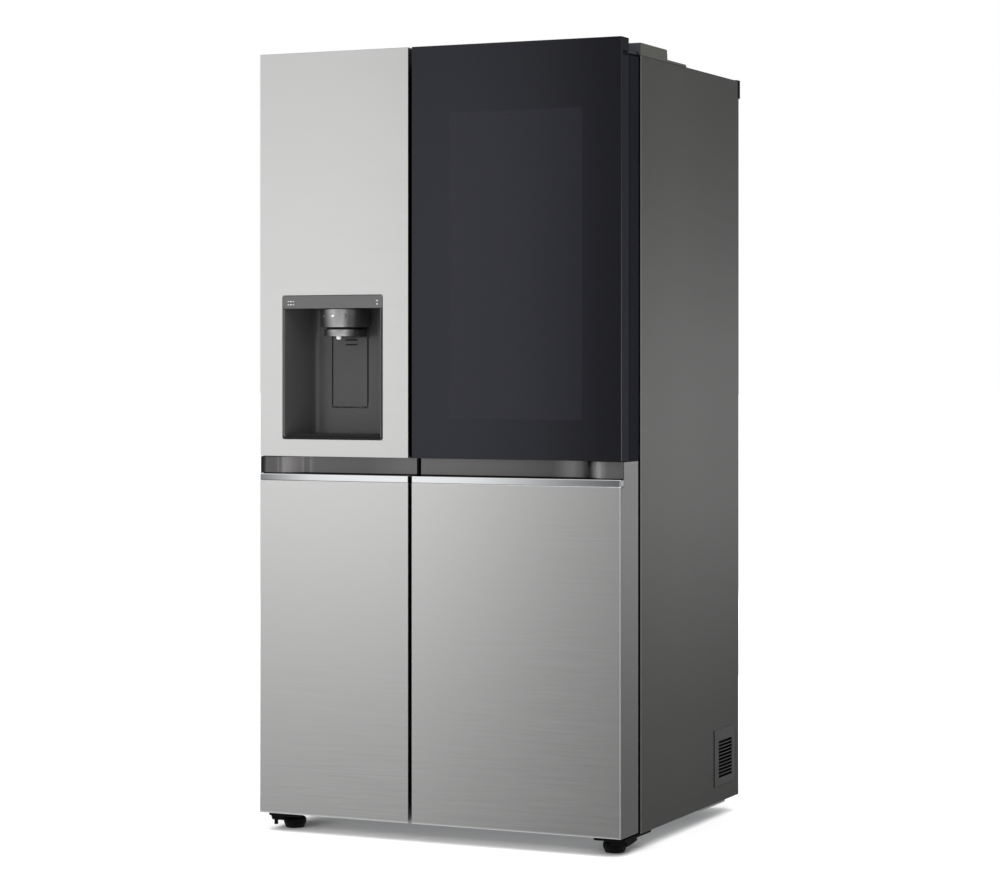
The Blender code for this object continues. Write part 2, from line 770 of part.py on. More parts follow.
def dispenser_housing():
    """A tub whose walls close in towards its back, with an opening there for the paddle."""
    tub = box("dispenser_housing", DISPENSER, (GAP, TUB_BACK + MOULDED), DISPENSER_UP, TUB)
    rim = 0.0025
    front = -THROUGH
    floor = DISPENSER_UP[0] + 0.005
    wide = DISPENSER[1] - DISPENSER[0] - 2 * rim
    back_share = 0.71  # width at the back of the recess, against the front
    bm = bmesh.new()
    bmesh.ops.create_cube(bm, size=1.0)
    bmesh.ops.scale(bm, vec=(wide, TUB_BACK - front, STRIP_LOW - floor), verts=bm.verts)
    for vert in bm.verts:
        if vert.co.y > 0:
            vert.co.x *= back_share
    place = spot(DISPENSER_MIDDLE, (front + TUB_BACK) / 2, (floor + STRIP_LOW) / 2)
    cut(tub, add("dispenser_recess", bm, place))
    cut_box(tub, DISPENSER, (front, STRIP_BACK + GAP), (STRIP_LOW - 0.001, HEIGHT))
    behind = (TUB_BACK - 0.001, BEHIND_DOOR)
    cut_box(tub, wider(LEVER, LEVER_GAP), behind, wider(LEVER_UP, LEVER_GAP))


def dispenser_panel():
    """The strip over the recess that carries the touch controls."""
    up = (STRIP_LOW, DISPENSER_UP[1] - GAP)
    panel = box("dispenser_panel", wider(DISPENSER, -GAP), (GAP, STRIP_BACK), up, NOZZLE)
    bevel(panel, 0.001)


def dispenser_nozzle():
    """A round chute housing with a narrower mouth below, flat against the tub's back."""
    profile = [
        (0, STRIP_LOW - GAP),
        (0.058, STRIP_LOW - GAP),
        (0.058, 1.1645),
        (0.056, 1.1625),
        (0.048, 1.1625),
        (0.048, 1.1420),
        (0.038, 1.1420),
        (0.036, 1.1580),
        (0, 1.1580),
    ]
    place = spot(DISPENSER_MIDDLE, 0.062, 0)
    nozzle = turned("dispenser_nozzle", profile, place, "Z", NOZZLE, 40)
    cut_box(nozzle, DISPENSER, (TUB_BACK - GAP, BEHIND_DOOR), (1.1, 1.3))


def dispenser_lever():
    """A paddle level with the tub's back wall, which swings in from its top edge."""
    lever = box("dispenser_lever", LEVER, LEVER_DEEP, LEVER_UP, TUB)
    bevel(lever, 0.001)


def drip_tray():
    """A shallow grid on the floor of the recess."""
    across = (0.092, 0.284)
    up = (0.9098, 0.9165)
    tray_body = box("drip_tray", across, (0.006, 0.070), up, BLACK)
    rows = slots(6, 0.012, 0.064, 0.45)
    slot_up = (up[0] + 0.0017, up[1] + THROUGH)
    grooves = [(wider(across, -0.008), deep, slot_up) for deep in rows]
    cut(tray_body, many_boxes("drip_slots", grooves))


def door_gasket(name, room):
    """The soft seal on the back of a door, round the opening of its room."""
    lap = 0.017
    deep = (DOOR_DEEP + GAP, CASE_FRONT - 0.0005)
    ring(name, wider(room, lap), deep, wider((ROOM_LOW, ROOM_TOP), lap), 0.0145, RUBBER)


def door_bin(name, up):
    tray(name, wider(FREEZER_BIN, -GAP), (DOOR_DEEP + GAP, BIN_BACK), up, MOULDED, CLEAR)


def freezer_door():
    across = (0, FREEZER_EDGE)
    lower_skin("freezer_lower_skin", across, own_side)
    freezer_upper_skin()
    trim_strip("freezer_trim_strip", across)
    recess = pocket_outline(FREEZER_EDGE + THROUGH, 0.105, 0.035)
    handle_pocket("freezer_handle_pocket", wider(across, -SHEET - GAP), UPPER_LOW - GAP, recess)
    freezer_door_core()
    dispenser_housing()
    dispenser_panel()
    dispenser_nozzle()
    drip_tray()
    door_gasket("freezer_gasket", FREEZER_ROOM)
    door_bin("freezer_bin_upper", (1.320, 1.420))
    door_bin("freezer_bin_lower", (0.500, 0.620))


def fridge_door_core():
    """Inner refrigerator door: solid below, a frame round the basket space above."""
    inner = SHEET + GAP
    across = (FRIDGE_EDGE, WIDTH)
    up = (DOOR_LOW + inner, DOOR_BACK_TOP)
    core = box("fridge_door_core", across, (inner, DOOR_DEEP), up, GLASS)
    cut_box(core, wider(across), (-THROUGH, STEP_DEEP), (UPPER_LOW - 0.001, HEIGHT))
    front = (-THROUGH, POCKET_BACK + GAP)
    cut_box(core, wider(across), front, (TRIM_LOW - SHEET - 2 * GAP, UPPER_LOW))
    for edge in across:
        cut_box(core, wider((edge, edge), inner), (-THROUGH, BEHIND_DOOR), (0, UPPER_LOW - 0.001))
    shoulder_deep = (SHOULDER_ROOT, SHOULDER_BACK)
    shoulder_across = (0.440, 0.844)
    shoulder_up = (0.880, CAVITY_UP[1])
    join_box(core, (shoulder_across[0], CAVITY[0]), shoulder_deep, shoulder_up)
    join_box(core, (CAVITY[1], shoulder_across[1]), shoulder_deep, shoulder_up)
    join_box(core, shoulder_across, shoulder_deep, (shoulder_up[0], CAVITY_UP[0]))
    cut_box(core, CAVITY, (FRONT_DEEP - THROUGH, BEHIND_DOOR), CAVITY_UP)
    glass_lug(core)
    pin_holes(core, other_side(HINGE_IN))


def glass_lug(core):
    """The lug and pin on the inner door's top that the glass door turns on."""
    across = other_side(GLASS_HINGE_IN)
    reach = 0.008
    deep = (GLASS_HINGE_DEEP - reach, 0.056)
    join_box(core, wider((across, across), reach), deep, (DOOR_BACK_TOP - 0.001, LUG_TOP))
    join_pin(core, across, GLASS_HINGE_DEEP, (LUG_TOP - 0.001, LUG_TOP + 0.010), GLASS_PIN)


def basket(name, up):
    tray(name, wider(CAVITY, -GAP), (0.052, BIN_BACK), up, MOULDED, CLEAR)


def fridge_door():
    across = (FRIDGE_EDGE, WIDTH)
    lower_skin("fridge_lower_skin", across, other_side)
    trim_strip("fridge_trim_strip", across)
    recess = pocket_outline(FRIDGE_EDGE - THROUGH, 0.780, 0.855)
    beside_flange = (FRIDGE_EDGE, WIDTH - SHEET - GAP)
    pocket = handle_pocket("fridge_handle_pocket", beside_flange, UPPER_LOW - 0.0015, recess)
    pin = (UPPER_LOW - 0.006, UPPER_LOW + 0.007)
    join_pin(pocket, other_side(GLASS_HINGE_IN), GLASS_HINGE_DEEP, pin, GLASS_PIN)
    fridge_door_core()
    door_gasket("fridge_gasket", FRIDGE_ROOM)
    basket("fridge_basket_upper", (1.340, 1.450))
    basket("fridge_basket_lower", (0.940, 1.080))


def glass_door():
    """The outer door: a glass sheet on a frame with a window, and its seal."""
    across = (FRIDGE_EDGE, WIDTH)
    up = (UPPER_LOW, HEIGHT)
    glass = 0.004
    box("glass_door_glass", across, (0, glass), up, GLASS)
    frame = box("glass_door_frame", across, (glass + GAP, FRONT_DEEP), up, BLACK)
    cut_box(frame, WINDOW, wider((0, DOOR_DEEP)), WINDOW_UP)
    pin_across = other_side(GLASS_HINGE_IN)
    notch = (pin_across - 0.0125, WIDTH + THROUGH)
    notch_up = (DOOR_BACK_TOP - 0.0025, LUG_TOP + 0.0015)
    cut_box(frame, notch, (GLASS_HINGE_DEEP - 0.012, DOOR_DEEP), notch_up)
    for hole_up in ((LUG_TOP, LUG_TOP + 0.0125), (UPPER_LOW - THROUGH, UPPER_LOW + 0.0085)):
        cut_hole(frame, pin_across, GLASS_HINGE_DEEP, hole_up, GLASS_HOLE)
    lap = 0.030
    deep = (FRONT_DEEP + GAP, STEP_DEEP - GAP)
    ring("glass_door_gasket", wider(CAVITY, lap), deep, wider(CAVITY_UP, lap), 0.014, RUBBER)


# The whole


def cabinet():
    side_panels()
    top_panel()
    back_panels()
    divider_strip()
    base_frame()
    insulation_foam()
    liner("freezer_liner", FREEZER_ROOM)
    liner("fridge_liner", FRIDGE_ROOM)
    rear_top_rail()
    side_vent_grille()
    duct_covers()
    shelves()
    ice_maker()
    ice_bucket()
    for end, side in SIDES:
        upper_hinge(f"upper_hinge_{end}", side)
        hinge_cover(f"hinge_cover_{end}", side)
        lower_hinge(f"lower_hinge_{end}", side)
        front_foot(f"front_foot_{end}", side)
        rear_roller(f"rear_roller_{end}", side)


def joints():
    """Puts each swinging body on an empty at its hinge."""
    freezer_names = [
        "freezer_door_core",
        "freezer_upper_skin",
        "freezer_lower_skin",
        "freezer_handle_pocket",
        "freezer_trim_strip",
        "freezer_gasket",
        "freezer_bin_upper",
        "freezer_bin_lower",
        "dispenser_housing",
        "dispenser_panel",
        "dispenser_nozzle",
        "drip_tray",
    ]
    fridge_names = [
        "fridge_door_core",
        "fridge_lower_skin",
        "fridge_handle_pocket",
        "fridge_trim_strip",
        "fridge_gasket",
        "fridge_basket_upper",
        "fridge_basket_lower",
    ]
    glass_names = ["glass_door_frame", "glass_door_glass", "glass_door_gasket"]
    glass_place = spot(other_side(GLASS_HINGE_IN), GLASS_HINGE_DEEP, 0)
    lever_place = spot(sum(LEVER) / 2, sum(LEVER_DEEP) / 2, LEVER_UP[1] - 0.0025)
    freezer = hang_on_joint("freezer_door_axis", spot(HINGE_IN, HINGE_DEEP, 0), freezer_names)
    fridge_place = spot(other_side(HINGE_IN), HINGE_DEEP, 0)
    fridge = hang_on_joint("fridge_door_axis", fridge_place, fridge_names)
    glass = hang_on_joint("glass_door_axis", glass_place, glass_names)
    lever = hang_on_joint("dispenser_lever_axis", lever_place, ["dispenser_lever"])
    for child, parent in ((glass, fridge), (lever, freezer)):
        bpy.context.view_layer.update()
        child.parent = parent
        child.matrix_parent_inverse = parent.matrix_world.inverted()


cabinet()
machines()
freezer_door()
dispenser_lever()
fridge_door()
glass_door()
drawer("freezer_drawer", FREEZER_ROOM)
drawer("crisper_drawer", FRIDGE_ROOM)
joints()
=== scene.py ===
"""The looks of a side by side refrigerator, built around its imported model.

Places on the object are given as three distances in metres: across, from the left side; deep, from the front
of the doors; and up, from the floor. The model is at rest here, with its doors shut.
"""

import json
import math

import bmesh
import bpy
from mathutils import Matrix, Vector

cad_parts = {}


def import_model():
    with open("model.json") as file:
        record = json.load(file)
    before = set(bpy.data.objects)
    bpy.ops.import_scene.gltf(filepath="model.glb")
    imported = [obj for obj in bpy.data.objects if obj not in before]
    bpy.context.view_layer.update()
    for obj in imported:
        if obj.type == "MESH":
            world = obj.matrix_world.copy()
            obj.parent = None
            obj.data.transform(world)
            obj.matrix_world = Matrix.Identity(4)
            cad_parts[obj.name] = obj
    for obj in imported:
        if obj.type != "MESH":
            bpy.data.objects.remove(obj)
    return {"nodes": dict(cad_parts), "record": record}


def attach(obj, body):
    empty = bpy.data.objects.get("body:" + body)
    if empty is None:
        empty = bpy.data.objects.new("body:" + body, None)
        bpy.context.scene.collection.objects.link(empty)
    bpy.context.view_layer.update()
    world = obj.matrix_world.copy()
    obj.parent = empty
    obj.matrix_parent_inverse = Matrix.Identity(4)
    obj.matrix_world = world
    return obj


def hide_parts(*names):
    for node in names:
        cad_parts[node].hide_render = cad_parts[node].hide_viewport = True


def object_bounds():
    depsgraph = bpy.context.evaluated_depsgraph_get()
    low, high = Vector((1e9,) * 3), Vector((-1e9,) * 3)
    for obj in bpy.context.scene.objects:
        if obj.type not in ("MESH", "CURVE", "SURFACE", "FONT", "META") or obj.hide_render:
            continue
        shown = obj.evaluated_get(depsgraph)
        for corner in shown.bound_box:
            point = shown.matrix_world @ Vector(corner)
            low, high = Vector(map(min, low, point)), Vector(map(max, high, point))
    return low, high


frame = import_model()
LOW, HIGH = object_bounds()
WIDTH = HIGH.x - LOW.x
DEPTH = HIGH.y - LOW.y
HEIGHT = HIGH.z
SCENE = bpy.context.scene
MM = 0.001
EDGE = 0.0006  # the outermost skin of the doors' sides

# The doors
FREEZER_EDGE = 0.3817  # right edge of the freezer's door
FRIDGE_LEFT = 0.391  # left edge of the refrigerator's doors
PANEL_LOW = 0.865  # lower edge of the upper door panels
DOOR_BACK_TOP = 1.755  # the doors' rear part is lower, under the hinge arms
FOLD_HIGHLIGHT_WIDTH = 0.0045  # width of the painted highlights along the folds at the doors' right and lower edges
DOOR_LOW = 0.0410
TRIM_TOP = 0.8230  # above this a trim strip's lip turns in
RECESS_SHADOW_BANDS = ((0.80, 0.8268), (0.8632, 0.87))  # painted shadow bands under and over the hand recesses
WINDOW = (0.483, 0.808)
WINDOW_UP = (0.954, 1.640)
BASKET_SPACE = ((0.4545, 0.8365), (0.0480, DEPTH), (0.9295, 1.7005))  # just outside its walls

# The dispenser
DISPENSER = (0.059, 0.317)
DISPENSER_UP = (0.9045, 1.2337)
RECESS_FLOOR = 0.9102
RECESS_TOP = 1.2035
RECESS_BACK = 0.0957
CHUTE = (0.188, 0.064)  # its axis
CHUTE_RADIUS = 0.0562
BUTTONS_UP = 1.187
BUTTON_TURNS = (-30, -2, 26)  # degrees round the chute from its front; the middle one has a white bead, a painted glint
LEVER = (0.1395, 0.2295)
LEVER_UP = (0.978, 1.1395)

# The rooms behind the doors
FREEZER_ROOM = (0.052, 0.354)
FRIDGE_ROOM = (0.418, 0.848)
ROOM_UP = (0.115, 1.710)
SHELVES = (
    ("freezer_shelf", FREEZER_ROOM, 1.100),
    ("fridge_shelf_upper", FRIDGE_ROOM, 1.350),
    ("fridge_shelf_lower", FRIDGE_ROOM, 0.990),
)

# The case
CASE_FRONT = 0.1125
CASE_BACK = 0.7506
VENT_SLOTS = 11
VENT_FIELD = (0.6130, 0.7030)
VENT_ROWS = (0.0925, 0.1820)


def spot(across, deep, up):
    return Vector((LOW.x + across, LOW.y + deep, up))


def grown(ends, by):
    return (ends[0] - by, ends[1] + by)


def about(middle, half):
    return (middle - half, middle + half)


def scaled(colour, by):
    return [min(1.0, c * by) for c in colour]


# Camera, light and floor


def camera():
    """Level, to the right of the front, with a long lens; the shift sets the object in the frame."""
    data = bpy.data.cameras.new("camera")
    data.lens = 100.8
    data.sensor_width = 36
    data.shift_y = -0.0818
    obj = bpy.data.objects.new("camera", data)
    obj.location = (2.756, -6.024, 1.0822)
    obj.rotation_euler = (math.radians(90), 0, math.radians(24.7))
    SCENE.collection.objects.link(obj)
    SCENE.camera = obj


def area_light(name, place, aim, size, power):
    data = bpy.data.lights.new(name, "AREA")
    data.shape = "RECTANGLE"
    data.size, data.size_y = size
    data.energy = power
    obj = bpy.data.objects.new(name, data)
    obj.location = place
    obj.rotation_euler = (Vector(aim) - Vector(place)).to_track_quat("-Z", "Y").to_euler()
    SCENE.collection.objects.link(obj)
    return obj


def lights():
    """A broad soft sun from above, and fills that don't show in reflections."""
    data = bpy.data.lights.new("sun", "SUN")
    data.energy = 2.9
    data.angle = math.radians(70)
    sun = bpy.data.objects.new("sun", data)
    sun.rotation_euler = (math.radians(12), math.radians(8), 0)
    SCENE.collection.objects.link(sun)
    fills = (
        area_light("front_fill", (-2.5, -6.0, 2.2), (0, 0, 0.9), (3, 3), 150),
        area_light("back_fill", (-2.0, 6.0, 2.4), (0, 0, 0.9), (3, 3), 130),
        area_light("right_fill", (5.5, -1.5, 1.2), (0.4, 0.0, 0.9), (2.5, 1.6), 22),
    )
    for fill in fills:
        fill.visible_glossy = False


class Graph:
    """Builds a node tree: each method adds a node and gives back its output."""

    def __init__(self, tree):
        self.tree = tree

    def node(self, kind, *inputs, **settings):
        made = self.tree.nodes.new(kind)
        for key, value in settings.items():
            setattr(made, key, value)
        for socket, value in zip(made.inputs, inputs):
            self.put(value, socket)
        return made

    def put(self, value, socket):
        if isinstance(value, bpy.types.NodeSocket):
            self.tree.links.new(value, socket)
        elif value is not None:
            socket.default_value = value

    def feed(self, socket, value):
        """Gives one of the shader's inputs a value."""
        self.put(value, self.tree.nodes["Principled BSDF"].inputs[socket])

    def math(self, operation, *inputs):
        return self.node("ShaderNodeMath", *inputs, operation=operation).outputs[0]

    def chain(self, operation, first, *others):
        for other in others:
            first = self.math(operation, first, other)
        return first

    def product(self, *values):
        return self.chain("MULTIPLY", *values)

    def total(self, *values):
        return self.chain("ADD", *values)

    def most(self, *values):
        return self.chain("MAXIMUM", *values)

    def place(self, stretch):
        """Object coordinates, in metres, stretched by a factor along each axis."""
        coords = self.node("ShaderNodeTexCoord").outputs["Object"]
        made = self.node("ShaderNodeMapping", coords, vector_type="POINT")
        made.inputs["Scale"].default_value = stretch
        return made.outputs[0]

    def along(self, axis):
        """An object coordinate: 0 across, 1 deep, 2 up, in metres from the middle of the floor."""
        coords = self.node("ShaderNodeTexCoord").outputs["Object"]
        return self.node("ShaderNodeSeparateXYZ", coords).outputs[axis]

    def inside(self, across=None, deep=None, up=None):
        """1 within the ranges given, and 0 elsewhere."""
        found = []
        for axis, ends in enumerate((across, deep, up)):
            if ends:
                place = self.along(axis)
                found.append(self.math("GREATER_THAN", place, ends[0] + spot(0, 0, 0)[axis]))
                found.append(self.math("LESS_THAN", place, ends[1] + spot(0, 0, 0)[axis]))
        return self.product(*found)

    def noise(self, stretch, detail=2.0):
        """Cloudy grey; stretch is how many patches a metre holds, as one number or one for each axis."""
        if isinstance(stretch, (int, float)):
            stretch = (stretch, stretch, stretch)
        made = self.node("ShaderNodeTexNoise", self.place(stretch))
        made.inputs["Scale"].default_value = 1.0
        made.inputs["Detail"].default_value = detail
        return made.outputs["Fac"]

    def spread(self, value, low, high, out_low, out_high, smooth=False):
        made = self.node("ShaderNodeMapRange", value, low, high, out_low, out_high)
        made.interpolation_type = "SMOOTHSTEP" if smooth else "LINEAR"
        return made.outputs[0]

    def shades(self, value, first, second):
        """Goes from the first colour to the second as the value goes from 0 to 1."""
        made = self.node("ShaderNodeMix", data_type="RGBA")
        self.put(value, made.inputs["Factor"])
        for socket, colour in zip([s for s in made.inputs if s.type == "RGBA"], (first, second)):
            self.put(colour if isinstance(colour, bpy.types.NodeSocket) else (*colour, 1), socket)
        return [s for s in made.outputs if s.type == "RGBA"][0]

    def ramp(self, stops):
        """A grey level along the width, from (across, level) stops."""
        made = self.node("ShaderNodeValToRGB", self.spread(self.along(0), LOW.x, HIGH.x, 0.0, 1.0))
        elements = made.color_ramp.elements
        while len(elements) < len(stops):
            elements.new(0.5)
        for element, (across, level) in zip(elements, stops):
            element.position = across / WIDTH
            element.color = (level, level, level, 1)
        return made.outputs[0]

    def bump(self, height, strength, distance):
        made = self.node("ShaderNodeBump")
        made.inputs["Strength"].default_value = strength
        made.inputs["Distance"].default_value = distance
        self.put(height, made.inputs["Height"])
        return made.outputs[0]


def world():
    """A white room for the eye. Reflections see bright windows at the front's two sides, darker below."""
    made = bpy.data.worlds.new("studio")
    made.use_nodes = True
    tree = made.node_tree
    graph = Graph(tree)
    split = graph.node("ShaderNodeSeparateXYZ", graph.node("ShaderNodeTexCoord").outputs["Generated"])
    x, y, z = split.outputs
    turn = graph.math("ABSOLUTE", graph.math("ARCTAN2", graph.product(x, -1.0), graph.product(y, -1.0)))
    rise = graph.math("ARCSINE", z)

    def ease(value, low, high, out_low, out_high):
        return graph.spread(value, math.radians(low), math.radians(high), out_low, out_high, True)

    window = graph.product(
        ease(turn, 21.5, 26.5, 0.03, 1.0),
        ease(turn, 27.5, 34, 1.0, 0.72),
        ease(turn, 100, 135, 1.0, 0.0),
        ease(rise, -10, -1, 0.12, 1.0),
        ease(rise, 2.5, 12, 1.0, 0.5),
        1.03,
    )
    behind = graph.spread(y, -0.2, 0.2, 0.0, 1.0, True)
    glow = graph.product(ease(rise, -7.5, -1.5, 0.0, 1.0), ease(rise, -1.5, 5.5, 1.0, 0.0), behind, 0.64)
    ground = ease(rise, -16, -2, 0.13, 0.26)
    lit_floor = ease(rise, -26, -13, 0.55, 0.0)
    ceiling = ease(rise, 14, 40, 0.0, 0.35)
    level = graph.total(ground, window, glow, lit_floor, ceiling)
    seen = graph.node("ShaderNodeLightPath").outputs["Is Camera Ray"]
    strength = graph.most(level, seen)
    background = tree.nodes["Background"]
    background.inputs["Color"].default_value = (1, 1, 1, 1)
    tree.links.new(strength, background.inputs["Strength"])
    SCENE.world = made
    SCENE.view_settings.view_transform = "Standard"


def floor():
    bm = bmesh.new()
    bmesh.ops.create_grid(bm, x_segments=2, y_segments=2, size=80)
    mesh = bpy.data.meshes.new("floor")
    bm.to_mesh(mesh)
    bm.free()
    obj = bpy.data.objects.new("floor", mesh)
    obj.location.z = -0.0005
    material, graph = look("floor", 0.9)
    graph.feed("Base Color", graph.shades(graph.noise(3, 3.0), (0.93, 0.93, 0.93), (0.96, 0.96, 0.96)))
    mesh.materials.append(material)
    obj.visible_glossy = False
    SCENE.collection.objects.link(obj)


# Materials

BLACK = (0.0, 0.0, 0.0)


def look(name, roughness, metallic=0.0, **sockets):
    """A new material with its graph; sockets are the shader's constant values, such as Alpha."""
    material = bpy.data.materials.new(name)
    material.use_nodes = True
    graph = Graph(material.node_tree)
    sockets.update(Roughness=roughness, Metallic=metallic)
    for key, value in sockets.items():
        graph.feed(key.replace("_", " "), value)
    return material, graph


def satin(graph, texture, rough, relief, distance=0.0004):
    """Varies gloss within a range, and adds a fine relief, both from one texture."""
    graph.feed("Roughness", graph.spread(texture, 0.3, 0.7, *rough))
    graph.feed("Normal", graph.bump(texture, relief, distance))


def brushed_steel(name, colour, roughness=0.20, contrast=0.035, side=0.9, stops=None):
    """Level brush lines, in colour, gloss and surface, which spread reflections up and down; sides painted
    darker as shade, and painted highlights on the folds.

    Stops paint reflections into a trim strip, darkening it along its length. A door has none; its front is
    painted darker towards its ends as shade instead.
    """
    material, graph = look(name, roughness, 1.0, Anisotropic=0.65, Anisotropic_Rotation=0.25)
    graph.feed("Tangent", graph.node("ShaderNodeTangent", direction_type="RADIAL", axis="Z").outputs[0])
    coarse = graph.noise((5, 5, 260), 3.0)
    fine = graph.noise((22, 22, 2400))
    lines = graph.total(graph.product(coarse, 0.55), graph.product(fine, 0.45))
    tone = graph.spread(lines, 0.3, 0.7, 0.0, 1.0)
    front = graph.shades(tone, scaled(colour, 1 - contrast), scaled(colour, 1 + contrast))
    if stops:
        # Painted reflection: the trim is darkened along its length by its stops.
        trim_reflection_shade = graph.product(graph.inside(up=(0.0, TRIM_TOP)), graph.ramp(stops))
        front = graph.shades(trim_reflection_shade, front, scaled(colour, 0.22))
    else:
        # Painted shade: the doors' fronts are darkened towards the bottom, the top and the right.
        low = graph.spread(graph.along(2), 0.05, 0.80, 0.14, 0.0)
        high = graph.spread(graph.along(2), 1.00, 1.75, 0.02, 0.13)
        right = graph.spread(graph.along(0), LOW.x + 0.42, HIGH.x, 0.0, 0.085)
        front = graph.shades(graph.total(low, high, right), front, BLACK)
    # Painted highlights along the sheet's folds at the right and lower edges.
    right_fold_highlight = graph.inside(across=(WIDTH - FOLD_HIGHLIGHT_WIDTH, WIDTH))
    lower_fold_highlight = graph.inside(up=(0.0, DOOR_LOW + FOLD_HIGHLIGHT_WIDTH))
    front = graph.shades(graph.product(graph.most(right_fold_highlight, lower_fold_highlight), 0.6), front, (0.95, 0.95, 0.95))
    # Painted shade: the sides are darker than the front, lighter towards the bottom and darker towards the
    # top.
    rise = graph.spread(graph.along(2), 0.05, 0.8, 0.0, 1.0)
    shaded_flank = graph.shades(rise, scaled(colour, side * 1.2), scaled(colour, side * 0.88))
    between_sides = graph.inside(across=(EDGE, WIDTH - EDGE))
    graph.feed("Base Color", graph.shades(between_sides, shaded_flank, front))
    satin(graph, lines, (roughness - 0.02, roughness + 0.03), 0.035, 0.0005)
    return material


def grained(name, colour, roughness, grain=1400, depth=0.15, metallic=0.0, vary=0.08, **sockets):
    """Moulded plastic or textured paint: a fine stipple, and broad faint clouds in tone and gloss."""
    material, graph = look(name, roughness, metallic, **sockets)
    clouds = graph.noise(6)
    stipple = graph.noise(grain)
    mixed = graph.total(graph.product(clouds, 0.5), graph.product(stipple, 0.5))
    shade = graph.shades(mixed, scaled(colour, 1 - vary), scaled(colour, 1 + vary))
    graph.feed("Base Color", shade)
    satin(graph, stipple, (roughness - 0.03, roughness + 0.03), depth)
    return material


def black_glass(name, alpha=1.0, base=0.0015):
    """Dark glass with a printed black back, and the faintest waviness."""
    material, graph = look(name, 0.06, Specular_Tint=(0.82, 0.84, 1.0, 1), Alpha=alpha)
    waves = graph.noise((2.2, 2.2, 1.4), 1.0)
    graph.feed("Base Color", graph.shades(waves, (base * 0.8, base * 0.8, base), (base, base, base * 1.3)))
    graph.feed("Roughness", graph.spread(waves, 0.2, 0.8, 0.05, 0.09))
    graph.feed("Specular IOR Level", graph.spread(graph.along(0), LOW.x + 0.42, LOW.x + 0.70, 0.40, 0.5))
    return material


def recess_grey(name, colour):
    """The dispenser's moulding: its rim on one side, its floor and the gap round the lever are painted near
    black as shade.
    """
    material, graph = look(name, 0.26)
    clouds = graph.noise(8)
    stipple = graph.noise(2000)
    # Painted shade: the rim on one side, the floor and the gap round the lever go near black.
    rim = graph.inside(across=(DISPENSER[1] - 0.0030, DISPENSER[1] + 0.0030), deep=(-0.01, 0.0012))
    shaded_floor = graph.inside(up=(0.90, RECESS_FLOOR))
    back = (0.0940, 0.0990)
    lever_gap_shade = graph.inside(grown(LEVER, 0.0030), back, grown(LEVER_UP, 0.0030))
    paddle = graph.inside(grown(LEVER, -0.0006), back, grown(LEVER_UP, -0.0006))
    dark = graph.most(rim, shaded_floor, graph.math("SUBTRACT", lever_gap_shade, paddle))
    tone = graph.shades(clouds, colour, scaled(colour, 1.08))
    graph.feed("Base Color", graph.shades(dark, tone, (0.009, 0.009, 0.009)))
    graph.feed("Specular IOR Level", graph.spread(dark, 0.0, 1.0, 0.5, 0.14))
    satin(graph, stipple, (0.24, 0.29), 0.04)
    return material


def pocket_grey(name, colour):
    """The hand recesses' satin moulding, with painted shadow lines at its top and bottom, and painted
    highlights and shade along its width.
    """
    material, graph = look(name, 0.22, 0.55)
    # Painted shadow along the recesses' floor and top.
    shadow_bands = graph.most(*[graph.inside(up=ends) for ends in RECESS_SHADOW_BANDS])
    # Painted highlights and shade where the recesses bend, from the stops along the width.
    moulded = graph.shades(graph.ramp(POCKET_SHADING_STOPS), BLACK, scaled(colour, 2))
    graph.feed("Base Color", graph.shades(shadow_bands, moulded, (0.006, 0.006, 0.006)))
    graph.feed("Specular IOR Level", graph.spread(shadow_bands, 0.0, 1.0, 0.5, 0.05))
    satin(graph, graph.noise(2200), (0.20, 0.24), 0.03)
    return material


def chute_silver(name, colour):
    """The chute's satin metal, with painted shade towards its sides, where the recess closes round it, and a
    painted highlight down its front.
    """
    material, graph = look(name, 0.33, 0.92)
    # Painted shade towards the sides and a painted highlight band, from the stops.
    graph.feed("Base Color", graph.shades(graph.ramp(CHUTE_SHADING_STOPS), BLACK, colour))
    satin(graph, graph.noise(2400), (0.31, 0.36), 0.02)
    return material


def cover_grey(name, colour):
    """The hinge covers' grained plastic; their faces behind the doors are darker."""
    material, graph = look(name, 0.55, Specular_IOR_Level=0.3)
    stipple = graph.noise(1100)
    front = graph.inside(deep=(0.10, CASE_FRONT + 0.0018))
    tone = graph.shades(stipple, scaled(colour, 0.9), scaled(colour, 1.1))
    graph.feed("Base Color", graph.shades(front, tone, (0.039, 0.041, 0.047)))
    satin(graph, stipple, (0.52, 0.59), 0.3)
    return material


def vent_grey(name, colour):
    """The side grille's plastic, painted black as shade inside its slots, in bands round them and along its
    front edge.
    """
    material, graph = look(name, 0.4)
    stipple = graph.noise(1500)
    # Painted shade: black inside the slots, in bands round them and in a line along the front edge.
    inner = graph.inside(across=(0, WIDTH - 0.0012))
    pitch = (VENT_ROWS[1] - VENT_ROWS[0]) / VENT_SLOTS
    row = graph.math("DIVIDE", graph.math("SUBTRACT", graph.along(2), VENT_ROWS[0]), pitch)
    off_middle = graph.math("ABSOLUTE", graph.math("SUBTRACT", graph.math("FRACT", row), 0.5))
    field = graph.inside(None, VENT_FIELD, VENT_ROWS)
    slot_shade_bands = graph.product(graph.math("LESS_THAN", off_middle, 0.37), field)
    dark = graph.most(inner, slot_shade_bands, graph.inside(deep=(0.5760, 0.5845)))
    tone = graph.shades(stipple, scaled(colour, 0.9), scaled(colour, 1.1))
    graph.feed("Base Color", graph.shades(dark, tone, scaled(colour, 0.04)))
    graph.feed("Specular IOR Level", graph.spread(dark, 0.0, 1.0, 0.25, 0.01))
    satin(graph, stipple, (0.37, 0.44), 0.05)
    return material


